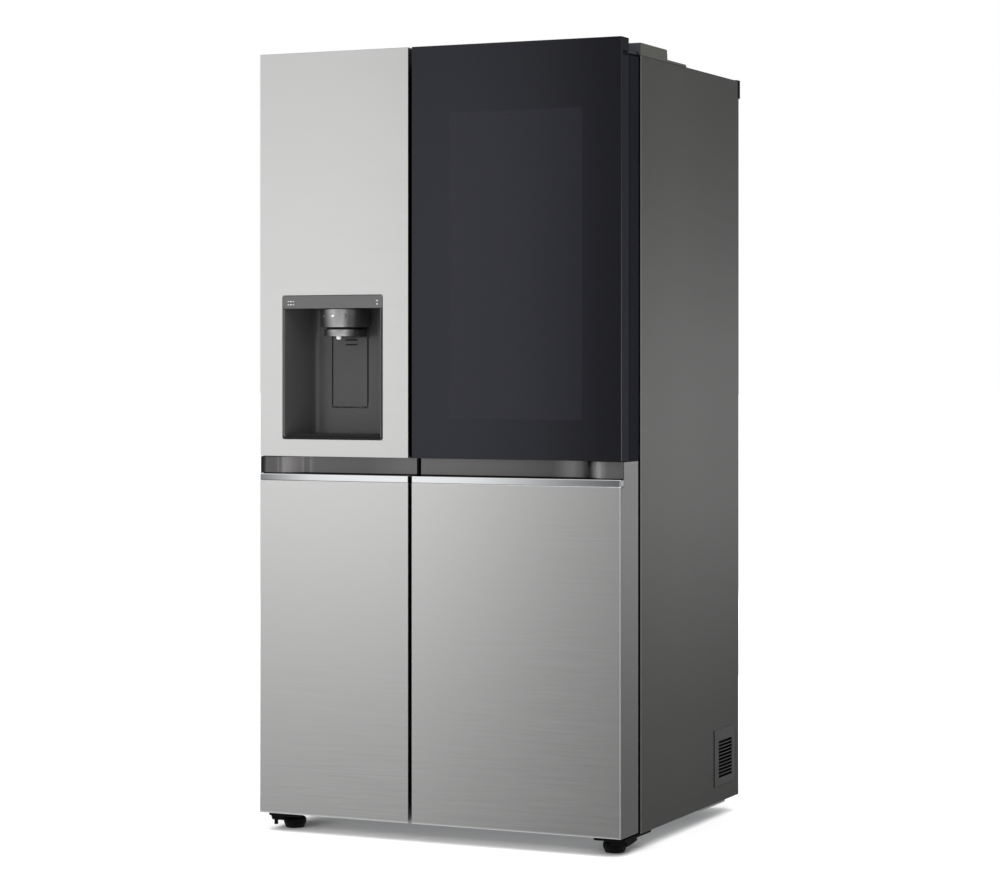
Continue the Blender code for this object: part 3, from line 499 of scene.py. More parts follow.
def inner_door(name, across, face, space=None):
    """Dark outside, and white on the door's cold side, behind a face, and round its basket space."""
    material, graph = look(name, 0.42, Specular_IOR_Level=0.06)
    white = graph.inside(grown(across, -0.004), (face, DEPTH), (0.0, DOOR_BACK_TOP - EDGE))
    if space:
        white = graph.most(white, graph.inside(*space))
    clouds = graph.noise(9)
    stipple = graph.noise(1500)
    outside = graph.shades(clouds, (0.0065, 0.007, 0.0105), (0.008, 0.0085, 0.0125))
    moulded = graph.shades(clouds, (0.69, 0.69, 0.68), (0.73, 0.73, 0.72))
    graph.feed("Base Color", graph.shades(white, outside, moulded))
    sheen = graph.spread(stipple, 0.3, 0.7, 0.38, 0.46)
    matt_outside = graph.spread(white, 0.0, 1.0, 0.85, 0.0)
    graph.feed("Roughness", graph.most(sheen, matt_outside))
    graph.feed("Normal", graph.bump(stipple, 0.06, 0.0004))
    return material


def clear_plastic(name, tint, alpha, roughness):
    """Thin clear mouldings: see-through, with a little tint."""
    material, graph = look(name, roughness, Alpha=alpha)
    clouds = graph.noise(14)
    graph.feed("Base Color", graph.shades(clouds, tint, scaled(tint, 1.05)))
    graph.feed("Roughness", graph.spread(clouds, 0.2, 0.8, roughness, roughness + 0.08))
    return material


def foam_skin(name, colour):
    """Pale insulating foam, with the skin and cells of its rise."""
    material, graph = look(name, 0.85)
    cells = graph.noise(260, 4.0)
    graph.feed("Base Color", graph.shades(cells, scaled(colour, 0.8), colour))
    graph.feed("Normal", graph.bump(cells, 0.6, 0.002))
    return material


def case_paint(name, colour):
    """Textured dark paint on the cabinet's sheets: a painted highlight on the front fold, painted shade
    darker towards the back, and painted near black shade where the front shows behind the doors.
    """
    material, graph = look(name, 0.22)
    clouds = graph.noise(4)
    stipple = graph.noise(620, 3.0)
    mixed = graph.total(graph.product(clouds, 0.4), graph.product(stipple, 0.6))
    # Painted shade: near black where the front shows behind the doors, and darker towards the back; a painted
    # highlight on the front fold.
    gap_shade = graph.inside(deep=(0.10, CASE_FRONT + 0.0004))
    front_fold_highlight = graph.inside(deep=(CASE_FRONT + 0.0004, CASE_FRONT + 0.0050))
    back_shade = graph.spread(graph.along(1), LOW.y + 0.35, LOW.y + 0.75, 1.0, 0.78)
    tone = graph.shades(back_shade, BLACK, graph.shades(mixed, scaled(colour, 0.88), scaled(colour, 1.12)))
    tone = graph.shades(front_fold_highlight, tone, scaled(colour, 3.2))
    graph.feed("Base Color", graph.shades(gap_shade, tone, (0.004, 0.004, 0.004)))
    gloss = graph.product(back_shade, graph.spread(gap_shade, 0.0, 1.0, 0.5, 0.05))
    graph.feed("Specular IOR Level", gloss)
    graph.feed("Roughness", graph.spread(mixed, 0.3, 0.7, 0.20, 0.26))
    graph.feed("Normal", graph.bump(stipple, 0.06, 0.0004))
    return material


# Painted highlights and shade along the object's width for each moulding, and the trim's painted reflection:
# (across, level)
POCKET_SHADING_STOPS = (
    (0.000, 0.32),
    (0.022, 0.26),
    (0.034, 0.26),
    (0.042, 0.42),
    (0.052, 0.70),
    (0.063, 0.74),
    (0.072, 0.60),
    (0.085, 0.50),
    (0.091, 0.68),
    (0.103, 0.70),
    (0.107, 0.62),
    (0.115, 0.39),
    (0.250, 0.36),
    (0.350, 0.49),
    (0.470, 0.49),
    (0.614, 0.41),
    (0.683, 0.34),
    (0.717, 0.29),
    (0.734, 0.42),
    (0.751, 0.60),
    (0.768, 0.66),
    (0.785, 0.31),
    (0.798, 0.08),
    (0.813, 0.08),
    (0.826, 0.58),
    (0.844, 0.67),
    (0.862, 0.33),
    (0.900, 0.28),
)
CHUTE_SHADING_STOPS = (
    (0.1400, 0.28),
    (0.1592, 0.20),
    (0.1704, 0.33),
    (0.1795, 0.66),
    (0.1880, 0.85),
    (0.1948, 0.95),
    (0.2023, 1.00),
    (0.2087, 0.95),
    (0.2147, 0.46),
    (0.2201, 0.20),
    (0.2334, 0.19),
    (0.2460, 0.27),
)
TRIM_REFLECTION_STOPS = (
    (0.000, 0.95),
    (0.060, 0.65),
    (0.130, 0.22),
    (0.200, 0.10),
    (0.380, 0.04),
    (0.560, 0.04),
    (0.660, 0.22),
    (0.760, 0.42),
    (0.850, 0.62),
    (0.900, 0.72),
)
LOOKS = {
    "door_steel": brushed_steel("door_steel", (0.715, 0.715, 0.71), side=0.415),
    "case_paint": case_paint("case_paint", (0.0262, 0.0262, 0.0248)),
    "black_plastic": grained("black_plastic", (0.0075, 0.0075, 0.0085), 0.45, Specular_IOR_Level=0.18),
    "cover_plastic": cover_grey("cover_plastic", (0.060, 0.060, 0.052)),
    "pocket_plastic": pocket_grey("pocket_plastic", (0.165, 0.160, 0.160)),
    "bright_trim": brushed_steel("bright_trim", (0.74, 0.755, 0.77), 0.09, 0.015, 0.6, TRIM_REFLECTION_STOPS),
    "door_glass": black_glass("door_glass"),
    "door_frame": grained("door_frame", (0.0075, 0.008, 0.0115), 0.45, 1600, 0.05, Specular_IOR_Level=0.06),
    "clear_plastic": clear_plastic("clear_plastic", (0.80, 0.85, 0.88), 0.19, 0.06),
    "liner_plastic": grained("liner_plastic", (0.70, 0.70, 0.69), 0.30, 900, 0.04, 0.0, 0.02),
    "gasket_rubber": grained("gasket_rubber", (0.20, 0.20, 0.205), 0.65, 1800, 0.1),
    "foam": foam_skin("foam", (0.80, 0.72, 0.45)),
    "zinc_steel": grained("zinc_steel", (0.52, 0.53, 0.54), 0.38, 700, 0.12, 1.0),
    "fin_aluminium": grained("fin_aluminium", (0.68, 0.69, 0.70), 0.34, 500, 0.1, 1.0),
    "dispenser_grey": recess_grey("dispenser_grey", (0.046, 0.0445, 0.045)),
    "nozzle_grey": grained("nozzle_grey", (0.075, 0.074, 0.075), 0.26, 2400, 0.04),
}
HINGE_STEEL = grained("hinge_steel", (0.07, 0.072, 0.078), 0.5, 700, 0.12, 0.8)
SOFT_BLACK = grained("soft_black", (0.0035, 0.0035, 0.0042), 0.6, 1400, 0.1, Specular_IOR_Level=0.06)
NODE_LOOKS = {
    "fridge_door_core": inner_door("fridge_inner_door", (FRIDGE_LEFT, WIDTH), 0.0965, BASKET_SPACE),
    "freezer_door_core": inner_door("freezer_inner_door", (0, FREEZER_EDGE), 0.0990),
    "side_vent_grille": vent_grey("vent_grey", (0.034, 0.034, 0.034)),
    **dict.fromkeys(("upper_hinge_left", "upper_hinge_right"), HINGE_STEEL),
    **dict.fromkeys(("lower_hinge_left", "lower_hinge_right", "rear_top_rail"), SOFT_BLACK),
    **dict.fromkeys(("front_foot_left", "front_foot_right"), SOFT_BLACK),
}
WINDOW_GLASS = black_glass("window_glass", 0.85, 0.0075)
PANE_GLASS = black_glass("pane_glass", 0.25, 0.02)
# The chute's colour, before its painted shade and highlight stops scale it down.
SILVER_GREY = chute_silver("silver_grey", (0.72, 0.713, 0.716))
SPOUT_WHITE = grained("spout_white", (0.88, 0.88, 0.87), 0.25, 1500, 0.02, 0.0, 0.02)
MARK_GREY = grained("mark_grey", (0.55, 0.55, 0.55), 0.4, 1500, 0.02)
COPPER = grained("copper", (0.72, 0.38, 0.24), 0.25, 900, 0.05, 1.0)
BEVELS = (  # in millimetres, with the nodes whose edges they round
    (1.2, ("freezer_upper_skin", "freezer_lower_skin", "fridge_lower_skin", "glass_door_frame")),
    (1.2, ("hinge_cover_left", "hinge_cover_right", "ice_maker")),
    (1.0, ("rear_top_rail", "front_foot_left", "front_foot_right")),
    (0.9, ("freezer_drawer", "crisper_drawer", "ice_bucket")),
    (0.9, ("freezer_bin_upper", "freezer_bin_lower", "fridge_basket_upper", "fridge_basket_lower")),
    (0.8, ("freezer_door_core", "fridge_door_core", "lower_hinge_left", "lower_hinge_right")),
    (0.8, ("freezer_shelf", "fridge_shelf_upper", "fridge_shelf_lower", "drain_pan")),
    (0.6, ("glass_door_gasket",)),
    (0.5, ("freezer_handle_pocket", "fridge_handle_pocket", "dispenser_housing")),
    (0.4, ("drip_tray", "side_vent_grille")),
)


def round_edges(obj, width, segments=2):
    bevel = obj.modifiers.new("round_edges", "BEVEL")
    bevel.width = width * MM
    bevel.segments = segments
    bevel.limit_method = "ANGLE"
    bevel.angle_limit = math.radians(40)
    bevel.harden_normals = True


def dress_cad_nodes():
    widths = {node: width for width, nodes in BEVELS for node in nodes}
    for part in frame["record"]["subparts"]:
        node = part["node"]
        obj = frame["nodes"][node]
        obj.data.materials.clear()
        obj.data.materials.append(NODE_LOOKS.get(node, LOOKS[part["material_slot"]]))
        if node in widths:
            weld = obj.modifiers.new("weld", "WELD")
            weld.merge_threshold = 0.00001
            round_edges(obj, widths[node], 3)


# Shapes


def piece(name, bm, body, slot, material=None, bevel=0.0, stands_for=(), inlay=None):
    """Makes a piece of the object from a mesh: it rides on a body and takes its slot's material or its own.

    An inlay is a second material, on the faces whose material_index is 1.
    """
    bmesh.ops.recalc_face_normals(bm, faces=bm.faces)
    mesh = bpy.data.meshes.new(name)
    bm.to_mesh(mesh)
    bm.free()
    mesh.shade_smooth()
    mesh.set_sharp_from_angle(angle=math.radians(38))
    obj = bpy.data.objects.new(name, mesh)
    SCENE.collection.objects.link(obj)
    mesh.materials.append(material or LOOKS[slot])
    if inlay:
        mesh.materials.append(inlay)
    if bevel:
        round_edges(obj, bevel)
    if stands_for:
        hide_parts(*stands_for)
    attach(obj, body)


def put_box(bm, across, deep, up):
    made = bmesh.ops.create_cube(bm, size=1.0)["verts"]
    ends = (across, deep, up)
    bmesh.ops.scale(bm, vec=[high - low for low, high in ends], verts=made)
    bmesh.ops.translate(bm, vec=spot(*[(low + high) / 2 for low, high in ends]), verts=made)
    return made


def boxes(ranges):
    """A mesh of plain boxes, each given as three ranges."""
    bm = bmesh.new()
    for across, deep, up in ranges:
        put_box(bm, across, deep, up)
    return bm


def loft(bm, loops, closed=False):
    """Joins loops of points into a skin. It is capped at its ends, or goes round to its first loop."""
    rows = [[bm.verts.new(point) for point in loop] for loop in loops]
    pairs = list(zip(rows, rows[1:]))
    if closed:
        pairs.append((rows[-1], rows[0]))
    else:
        bm.faces.new(rows[0][::-1])
        bm.faces.new(rows[-1])
    for first, second in pairs:
        for i in range(len(first)):
            j = (i + 1) % len(first)
            bm.faces.new((first[i], first[j], second[j], second[i]))
    return bm


def corners(first, second, radius):
    """A rectangle with rounded corners, from two ranges."""
    steps = 5
    points = []
    for turn, (a, b) in enumerate(((1, 1), (0, 1), (0, 0), (1, 0))):
        x = first[a] + radius * (1 - 2 * a)
        y = second[b] + radius * (1 - 2 * b)
        for i in range(steps + 1):
            angle = math.pi / 2 * (turn + i / steps)
            points.append((x + radius * math.cos(angle), y + radius * math.sin(angle)))
    return points


def facing_plate(bm, across, deep, up, radius, soft=0.0008):
    """A plate with rounded corners whose faces look forwards and back."""
    loops = []
    for inset, place in ((soft, deep[0]), (0, deep[0] + soft), (0, deep[1] - soft), (soft, deep[1])):
        outline = corners(grown(across, -inset), grown(up, -inset), radius - inset / 2)
        loops.append([spot(x, place, z) for x, z in outline])
    return loft(bm, loops)


def upright_ring(bm, across, up, profile, radius):
    """A ring round an opening that faces the front: the profile's points are (distance in, deep)."""
    loops = []
    for inset, deep in profile:
        turn = max(radius - inset, 0.002)
        outline = corners(grown(across, -inset), grown(up, -inset), turn)
        loops.append([spot(x, deep, z) for x, z in outline])
    return loft(bm, loops, True)


def turned(bm, profile, centre, along=(0, 0, 1), sides=48, flats=0):
    """A turned form along an axis. Its profile's points are radius and distance; flats are a nut's sides."""
    axis = Vector(along)
    one = axis.orthogonal().normalized()
    two = axis.cross(one)
    loops = []
    for radius, distance, *flat in profile:
        loop = []
        for i in range(sides):
            angle = math.tau * i / sides
            reach = radius
            if flat and flats:
                part = math.tau / flats
                reach = radius * math.cos(part / 2) / math.cos((angle + part / 2) % part - part / 2)
            way = one * math.cos(angle) + two * math.sin(angle)
            loop.append(Vector(centre) + axis * distance + way * reach)
        loops.append(loop)
    return loft(bm, loops)


def extruded(bm, outline, across):
    """A section given as (deep, up), drawn out from side to side."""
    return loft(bm, [[spot(x, deep, up) for deep, up in outline] for x in across])


def spread_out(count, low, high):
    """The middles of equal parts of a range."""
    return [low + (high - low) * (i + 0.5) / count for i in range(count)]


def screws(name, places, along, body, slot="zinc_steel", size=1.0):
    """Flanged screws with six-sided heads."""
    profile = (
        (0.0048, 0.0),
        (0.0048, 0.0006),
        (0.0034, 0.0010),
        (0.0031, 0.0011, 1),
        (0.0031, 0.0026, 1),
        (0.0025, 0.0031, 1),
        (0.0016, 0.0031),
        (0.0013, 0.0022),
        (0.0003, 0.0021),
    )
    bm = bmesh.new()
    sized = [(point[0] * size, point[1] * size, *point[2:]) for point in profile]
    for place in places:
        turned(bm, sized, place, along, 24, 6)
    piece(name, bm, body, slot)


def pipe(name, points, radius, body, material):
    """A bent tube along a smooth route past its points."""
    data = bpy.data.curves.new(name, "CURVE")
    data.dimensions = "3D"
    data.bevel_depth = radius
    data.bevel_resolution = 4
    data.resolution_u = 10
    data.use_fill_caps = True
    spline = data.splines.new("NURBS")
    spline.points.add(len(points) - 1)
    for point, place in zip(spline.points, points):
        point.co = (*spot(*place), 1)
    spline.order_u = 4
    spline.use_endpoint_u = True
    data.materials.append(material)
    obj = bpy.data.objects.new(name, data)
    SCENE.collection.objects.link(obj)
    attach(obj, body)


# The glass door


def glass_sheet():
    """The door's outer glass, in nine fields; the middle one is the window."""
    sheet = bmesh.new()
    xs = (FRIDGE_LEFT, WINDOW[0], WINDOW[1], WIDTH)
    zs = (PANEL_LOW, WINDOW_UP[0], WINDOW_UP[1], HEIGHT)
    deep = (0.0, 0.004)
    grid = {}
    for i, x in enumerate(xs):
        for j, y in enumerate(deep):
            for k, z in enumerate(zs):
                grid[i, j, k] = sheet.verts.new(spot(x, y, z))
    for i in range(3):
        for k in range(3):
            for j in range(2):
                loop = ((i, j, k), (i + 1, j, k), (i + 1, j, k + 1), (i, j, k + 1))
                face = sheet.faces.new([grid[key] for key in loop])
                face.material_index = int(i == 1 and k == 1)
    for i in range(3):
        for k in (0, 3):
            for loop in (
                ((i, 0, k), (i + 1, 0, k), (i + 1, 1, k), (i, 1, k)),
                ((k, 0, i), (k, 0, i + 1), (k, 1, i + 1), (k, 1, i)),
            ):
                sheet.faces.new([grid[key] for key in loop])
    stands_for = ("glass_door_glass",)
    piece("door_glass_sheet", sheet, "glass_door", "door_glass", None, 0.8, stands_for, WINDOW_GLASS)


def glass_door():
    """The double glazing behind the window: an inner pane, a spacer bar between the panes, and a bezel."""
    glass_sheet()
    pane = facing_plate(bmesh.new(), grown(WINDOW, -0.0006), (0.030, 0.034), grown(WINDOW_UP, -0.0006), 0.003)
    piece("glass_inner_pane", pane, "glass_door", "door_glass", PANE_GLASS)
    bar = (
        (0.0006, 0.0046),
        (0.0085, 0.0046),
        (0.0095, 0.0060),
        (0.0095, 0.0280),
        (0.0085, 0.0296),
        (0.0006, 0.0296),
    )
    spacer = upright_ring(bmesh.new(), WINDOW, WINDOW_UP, bar, 0.003)
    piece("glass_spacer", spacer, "glass_door", "door_frame")
    lip = (
        (-0.0100, 0.0448),
        (-0.0090, 0.0466),
        (-0.0020, 0.0472),
        (0.0040, 0.0466),
        (0.0050, 0.0355),
        (-0.0004, 0.0348),
        (-0.0004, 0.0447),
    )
    bezel = upright_ring(bmesh.new(), WINDOW, WINDOW_UP, lip, 0.006)
    piece("glass_window_bezel", bezel, "glass_door", "door_frame")


# The dispenser


def dispenser_chute():
    """The round chute housing over the recess, with a dark groove in it, cut flat against the back."""
    groove = (1.15675, 1.1616)
    profile = (
        (0.0545, 1.2036),
        (CHUTE_RADIUS, 1.2020),
        (CHUTE_RADIUS, 1.1630),
        (0.0556, 1.1615),
        (0.0440, 1.1612),
        (0.0430, 1.1608),
        (0.0430, 1.1572),
        (0.0440, 1.1568),
        (0.0466, 1.1566),
        (0.0478, 1.1556),
        (0.0478, 1.1424),
        (0.0470, 1.1408),
        (0.0440, 1.1404),
        (0.0425, 1.1415),
        (0.0360, 1.1530),
        (0.0300, 1.1570),
        (0.0010, 1.1570),
    )
    bm = turned(bmesh.new(), profile, spot(*CHUTE, 0), (0, 0, 1), 72)
    geometry = bm.verts[:] + bm.edges[:] + bm.faces[:]
    wall = spot(0, RECESS_BACK, 0)
    bmesh.ops.bisect_plane(bm, geom=geometry, plane_co=wall, plane_no=(0, 1, 0), clear_outer=True)
    bmesh.ops.holes_fill(bm, edges=[edge for edge in bm.edges if edge.is_boundary])
    for face in bm.faces:
        if groove[0] < face.calc_center_median().z < groove[1]:
            face.material_index = 1
    stands_for = ("dispenser_nozzle",)
    groove_look = LOOKS["black_plastic"]
    piece("dispenser_chute", bm, "freezer_door", "nozzle_grey", SILVER_GREY, 0.0, stands_for, groove_look)


def on_chute(degrees, reach):
    """A place on the chute at the buttons' height, and the way it faces."""
    turn = math.radians(degrees)
    way = Vector((math.sin(turn), -math.cos(turn), 0))
    return spot(*CHUTE, BUTTONS_UP) + way * reach, way


def chute_details():
    """Buttons round the chute, a white bead on the middle one that paints its glint, and the spout under it.
    """
    lens = (
        (0.0048, -0.001),
        (0.0048, 0.0006),
        (0.0042, 0.0013),
        (0.0034, 0.0005),
        (0.0030, 0.0006),
        (0.0022, 0.0014),
        (0.0012, 0.0018),
        (0.0002, 0.0019),
    )
    buttons = bmesh.new()
    for degrees in BUTTON_TURNS:
        turned(buttons, lens, *on_chute(degrees, CHUTE_RADIUS), 20)
    piece("dispenser_buttons", buttons, "freezer_door", "nozzle_grey", SILVER_GREY)
    # A white bead that stands in for the middle button's glint.
    bead = ((0.0026, -0.0005), (0.0025, 0.0005), (0.0017, 0.0013), (0.0003, 0.0016))
    light = turned(bmesh.new(), bead, *on_chute(BUTTON_TURNS[1], CHUTE_RADIUS + 0.0014), 20)
    piece("button_glint", light, "freezer_door", "nozzle_grey", SPOUT_WHITE)
    tip = (
        (0.0046, 1.1600),
        (0.0054, 1.1450),
        (0.0063, 1.1400),
        (0.0063, 1.1370),
        (0.0052, 1.1340),
        (0.0034, 1.1330),
        (0.0022, 1.1345),
        (0.0004, 1.1350),
    )
    spout = turned(bmesh.new(), tip, spot(0.1740, 0.060, 0), (0, 0, 1), 28)
    piece("water_spout", spout, "freezer_door", "nozzle_grey", SPOUT_WHITE)


def dispenser_details():
    """The lever's paddle, the control strip's marks, and the tray's grid and lip."""
    paddle = bmesh.new()
    facing_plate(paddle, LEVER, (0.0955, 0.0985), LEVER_UP, 0.0055, 0.0006)
    piece("dispenser_paddle", paddle, "dispenser_lever", "dispenser_grey", stands_for=("dispenser_lever",))
    ribs = bmesh.new()
    for up in (1.1325, 1.1215):
        facing_plate(ribs, (0.173, 0.204), (0.0948, RECESS_BACK), about(up, 0.0016), 0.0015, 0.0002)
    piece("paddle_ribs", ribs, "dispenser_lever", "black_plastic")
    marks = bmesh.new()
    for middle, half in ((0.0740, 0.0014), (0.0805, 0.0022), (0.0875, 0.0014), (0.3030, 0.0022)):
        for up in (1.2130, 1.2205):
            facing_plate(marks, about(middle, half), (0.0001, 0.0004), about(up, 0.0011), 0.0009, 0.0001)
    piece("control_marks", marks, "freezer_door", "nozzle_grey", MARK_GREY)
    slats = [(about(x, 0.0012), (0.0085, 0.0675), (0.9125, 0.9163)) for x in spread_out(14, 0.100, 0.276)]
    piece("drip_tray_grid", boxes(slats), "freezer_door", "black_plastic", None, 0.4)
    lip = ((0.0047, 0.9098), (0.0047, 0.9157), (0.0051, 0.9163), (0.0058, 0.9163), (0.0058, 0.9098))
    piece("drip_tray_lip", extruded(bmesh.new(), lip, (0.0690, 0.3070)), "freezer_door", "black_plastic")


def opening_corners():
    """Fillets that round the corners of the opening in the door's sheet."""
    bm = bmesh.new()
    reach = 0.0055
    across = grown(DISPENSER, 0.0005)
    up = grown(DISPENSER_UP, 0.0005)
    for x, right in ((across[0], 1), (across[1], -1)):
        for z, above in ((up[0], 1), (up[1], -1)):
            outline = [(x, z)]
            for i in range(9):
                angle = math.pi / 2 * i / 8
                inward = right * reach * (1 - math.sin(angle))
                upward = above * reach * (1 - math.cos(angle))
                outline.append((x + inward, z + upward))
            loft(bm, [[spot(a, deep, b) for a, b in outline] for deep in (-0.0002, 0.0002)])
    piece("dispenser_corner_fillets", bm, "freezer_door", "door_steel")


def recess_rounds():
    """Rounds in the two upright back corners of the recess."""
    bm = bmesh.new()
    middle = sum(DISPENSER) / 2
    for side in (-1, 1):
        corner = Vector((middle + side * 0.0899, 0.0960))
        front = Vector((middle + side * 0.1265, -0.0100))
        start = corner + (front - corner).normalized() * 0.016
        end = corner - Vector((side * 0.016, 0))
        outline = [corner]
        for i in range(9):
            t = i / 8
            outline.append(start.lerp(corner, t).lerp(corner.lerp(end, t), t))
        loft(bm, [[spot(*point, up) for point in outline] for up in (0.9096, RECESS_TOP)])
    piece("dispenser_corner_rounds", bm, "freezer_door", "dispenser_grey")


def recess_end():
    """The flange that closes the freezer door's hand recess beside the hinge; its front is painted black as
    shade.
    """
    bm = bmesh.new()
    # The front part takes the black inlay: painted shade at the recess's end.
    for deep in ((0.0032, 0.0075), (0.0075, 0.0160)):
        for vert in put_box(bm, (0.0002, 0.0014), deep, (0.8250, 0.8640)):
            for face in vert.link_faces:
                face.material_index = int(deep[0] < 0.005)
    piece("freezer_recess_end", bm, "freezer_door", "pocket_plastic", inlay=LOOKS["black_plastic"])


# Seals, liners and what stands inside


def seals():
    """Folded door seals: a foot in the door, a thin waist and a bulb with a magnet."""
    profile = (
        (0.0000, 0.1015),
        (0.0155, 0.1015),
        (0.0155, 0.1028),
        (0.0125, 0.1036),
        (0.0145, 0.1050),
        (0.0155, 0.1075),
        (0.0150, 0.1100),
        (0.0138, 0.1119),
        (0.0030, 0.1119),
        (0.0012, 0.1100),
        (0.0006, 0.1075),
        (0.0016, 0.1050),
        (0.0038, 0.1036),
        (0.0000, 0.1028),
    )
    for body, room in (("freezer_door", FREEZER_ROOM), ("fridge_door", FRIDGE_ROOM)):
        node = body.replace("door", "gasket")
        bm = upright_ring(bmesh.new(), grown(room, 0.017), grown(ROOM_UP, 0.017), profile, 0.010)
        piece(f"{node}_seal", bm, body, "gasket_rubber", stands_for=(node,))


def shelf_details():
    """Trims on the shelves' front lips, and the ledges that carry the shelves."""
    for name, room, top in SHELVES:
        front = (
            (0.2149, top + 0.0035),
            (0.2128, top + 0.0025),
            (0.2120, top - 0.0020),
            (0.2120, top - 0.0135),
            (0.2130, top - 0.0165),
            (0.2149, top - 0.0170),
        )
        trim = extruded(bmesh.new(), front, grown(room, -0.0035))
        piece(f"{name}_trim", trim, "cabinet", "liner_plastic", SPOUT_WHITE)
        ledges = bmesh.new()
        for x in (room[0], room[1] - 0.0085):
            for place in ((0.250, 0.330), (0.350, 0.430), (0.450, 0.530)):
                put_box(ledges, (x, x + 0.0085), place, (top - 0.0200, top - 0.0047))
        piece(f"{name}_ledges", ledges, "cabinet", "liner_plastic", None, 1.5)


def ceiling_lights():
    """Ribbed lamp covers on the rooms' ceilings."""
    for name, room, half in (("freezer", FREEZER_ROOM, 0.070), ("fridge", FRIDGE_ROOM, 0.105)):
        across = about(sum(room) / 2, half)
        bm = bmesh.new()
        loops = []
        for inset, up in ((0, 1.7095), (0, 1.7065), (0.002, 1.7045), (0.008, 1.7035)):
            outline = corners(grown(across, -inset), grown((0.240, 0.310), -inset), 0.010)
            loops.append([spot(x, deep, up) for x, deep in outline])
        loft(bm, loops)
        for deep in spread_out(7, 0.249, 0.301):
            put_box(bm, grown(across, -0.012), about(deep, 0.0016), (1.7026, 1.7040))
        piece(f"{name}_ceiling_light", bm, "cabinet", "clear_plastic", SPOUT_WHITE)


def air_vents():
    """Louvred outlets on the duct covers."""
    plans = (
        ("freezer", FREEZER_ROOM, 0.6118, 0.085, (0.456, 0.806, 1.156)),
        ("fridge", FRIDGE_ROOM, 0.6398, 0.110, (0.456, 0.806, 1.156, 1.506)),
    )
    for name, room, face, half, heights in plans:
        bm = bmesh.new()
        across = about(sum(room) / 2, half)
        inner = grown(across, -0.009)
        lip = face - 0.0035
        rim = ((0, face), (0.001, lip), (0.005, lip - 0.0010), (0.009, lip), (0.010, face))
        for height in heights:
            upright_ring(bm, across, about(height, 0.026), rim, 0.012)
            for z in spread_out(4, height - 0.017, height + 0.017):
                slat = ((face, z + 0.0035), (lip, z - 0.0010), (lip, z - 0.0028), (face, z + 0.0008))
                extruded(bm, slat, inner)
        piece(f"{name}_air_vents", bm, "cabinet", "liner_plastic")
        dark = bmesh.new()
        for height in heights:
            facing_plate(dark, inner, (face - 0.0007, face), about(height, 0.018), 0.004, 0.0002)
        piece(f"{name}_vent_shadow", dark, "cabinet", "black_plastic")


def drawer_grips():
    """Curled lips to pull the drawers by."""

    def arc(radius, first, step):
        angles = [math.pi * (first + i * step) for i in range(9)]
        return [(0.2120 + radius * math.cos(angle), 0.3055 + radius * math.sin(angle)) for angle in angles]

    outline = [(0.2148, 0.3160)] + arc(0.0105, 0.5, 1 / 8) + arc(0.0080, 1.4, -1 / 9) + [(0.2148, 0.3135)]
    for body, room in (("freezer_drawer", FREEZER_ROOM), ("crisper_drawer", FRIDGE_ROOM)):
        grip = extruded(bmesh.new(), outline, grown(room, -0.030))
        piece(f"{body}_grip", grip, body, "liner_plastic", SPOUT_WHITE)


def ice_details():
    """The ice bucket's front with its grip, and the walls between the ice maker's cubes."""
    front = bmesh.new()
    facing_plate(front, (0.072, 0.334), (0.2085, 0.2148), (1.436, 1.574), 0.012, 0.0018)
    piece("ice_bucket_front", front, "cabinet", "liner_plastic", SPOUT_WHITE)
    lip = (
        (0.2086, 1.560),
        (0.2030, 1.558),
        (0.2015, 1.552),
        (0.2015, 1.543),
        (0.2028, 1.540),
        (0.2040, 1.543),
        (0.2045, 1.549),
        (0.2086, 1.551),
    )
    grip = extruded(bmesh.new(), lip, (0.130, 0.276))
    piece("ice_bucket_grip", grip, "cabinet", "liner_plastic", SPOUT_WHITE)
    walls = [(about(x, 0.0012), (0.3504, 0.5396), (1.6403, 1.6900)) for x in spread_out(5, 0.0900, 0.3160)]
    walls.append(((0.0903, 0.3157), (0.4440, 0.4460), (1.6403, 1.6880)))
    piece("ice_tray_walls", boxes(walls), "cabinet", "liner_plastic", None, 0.5)


# The outside


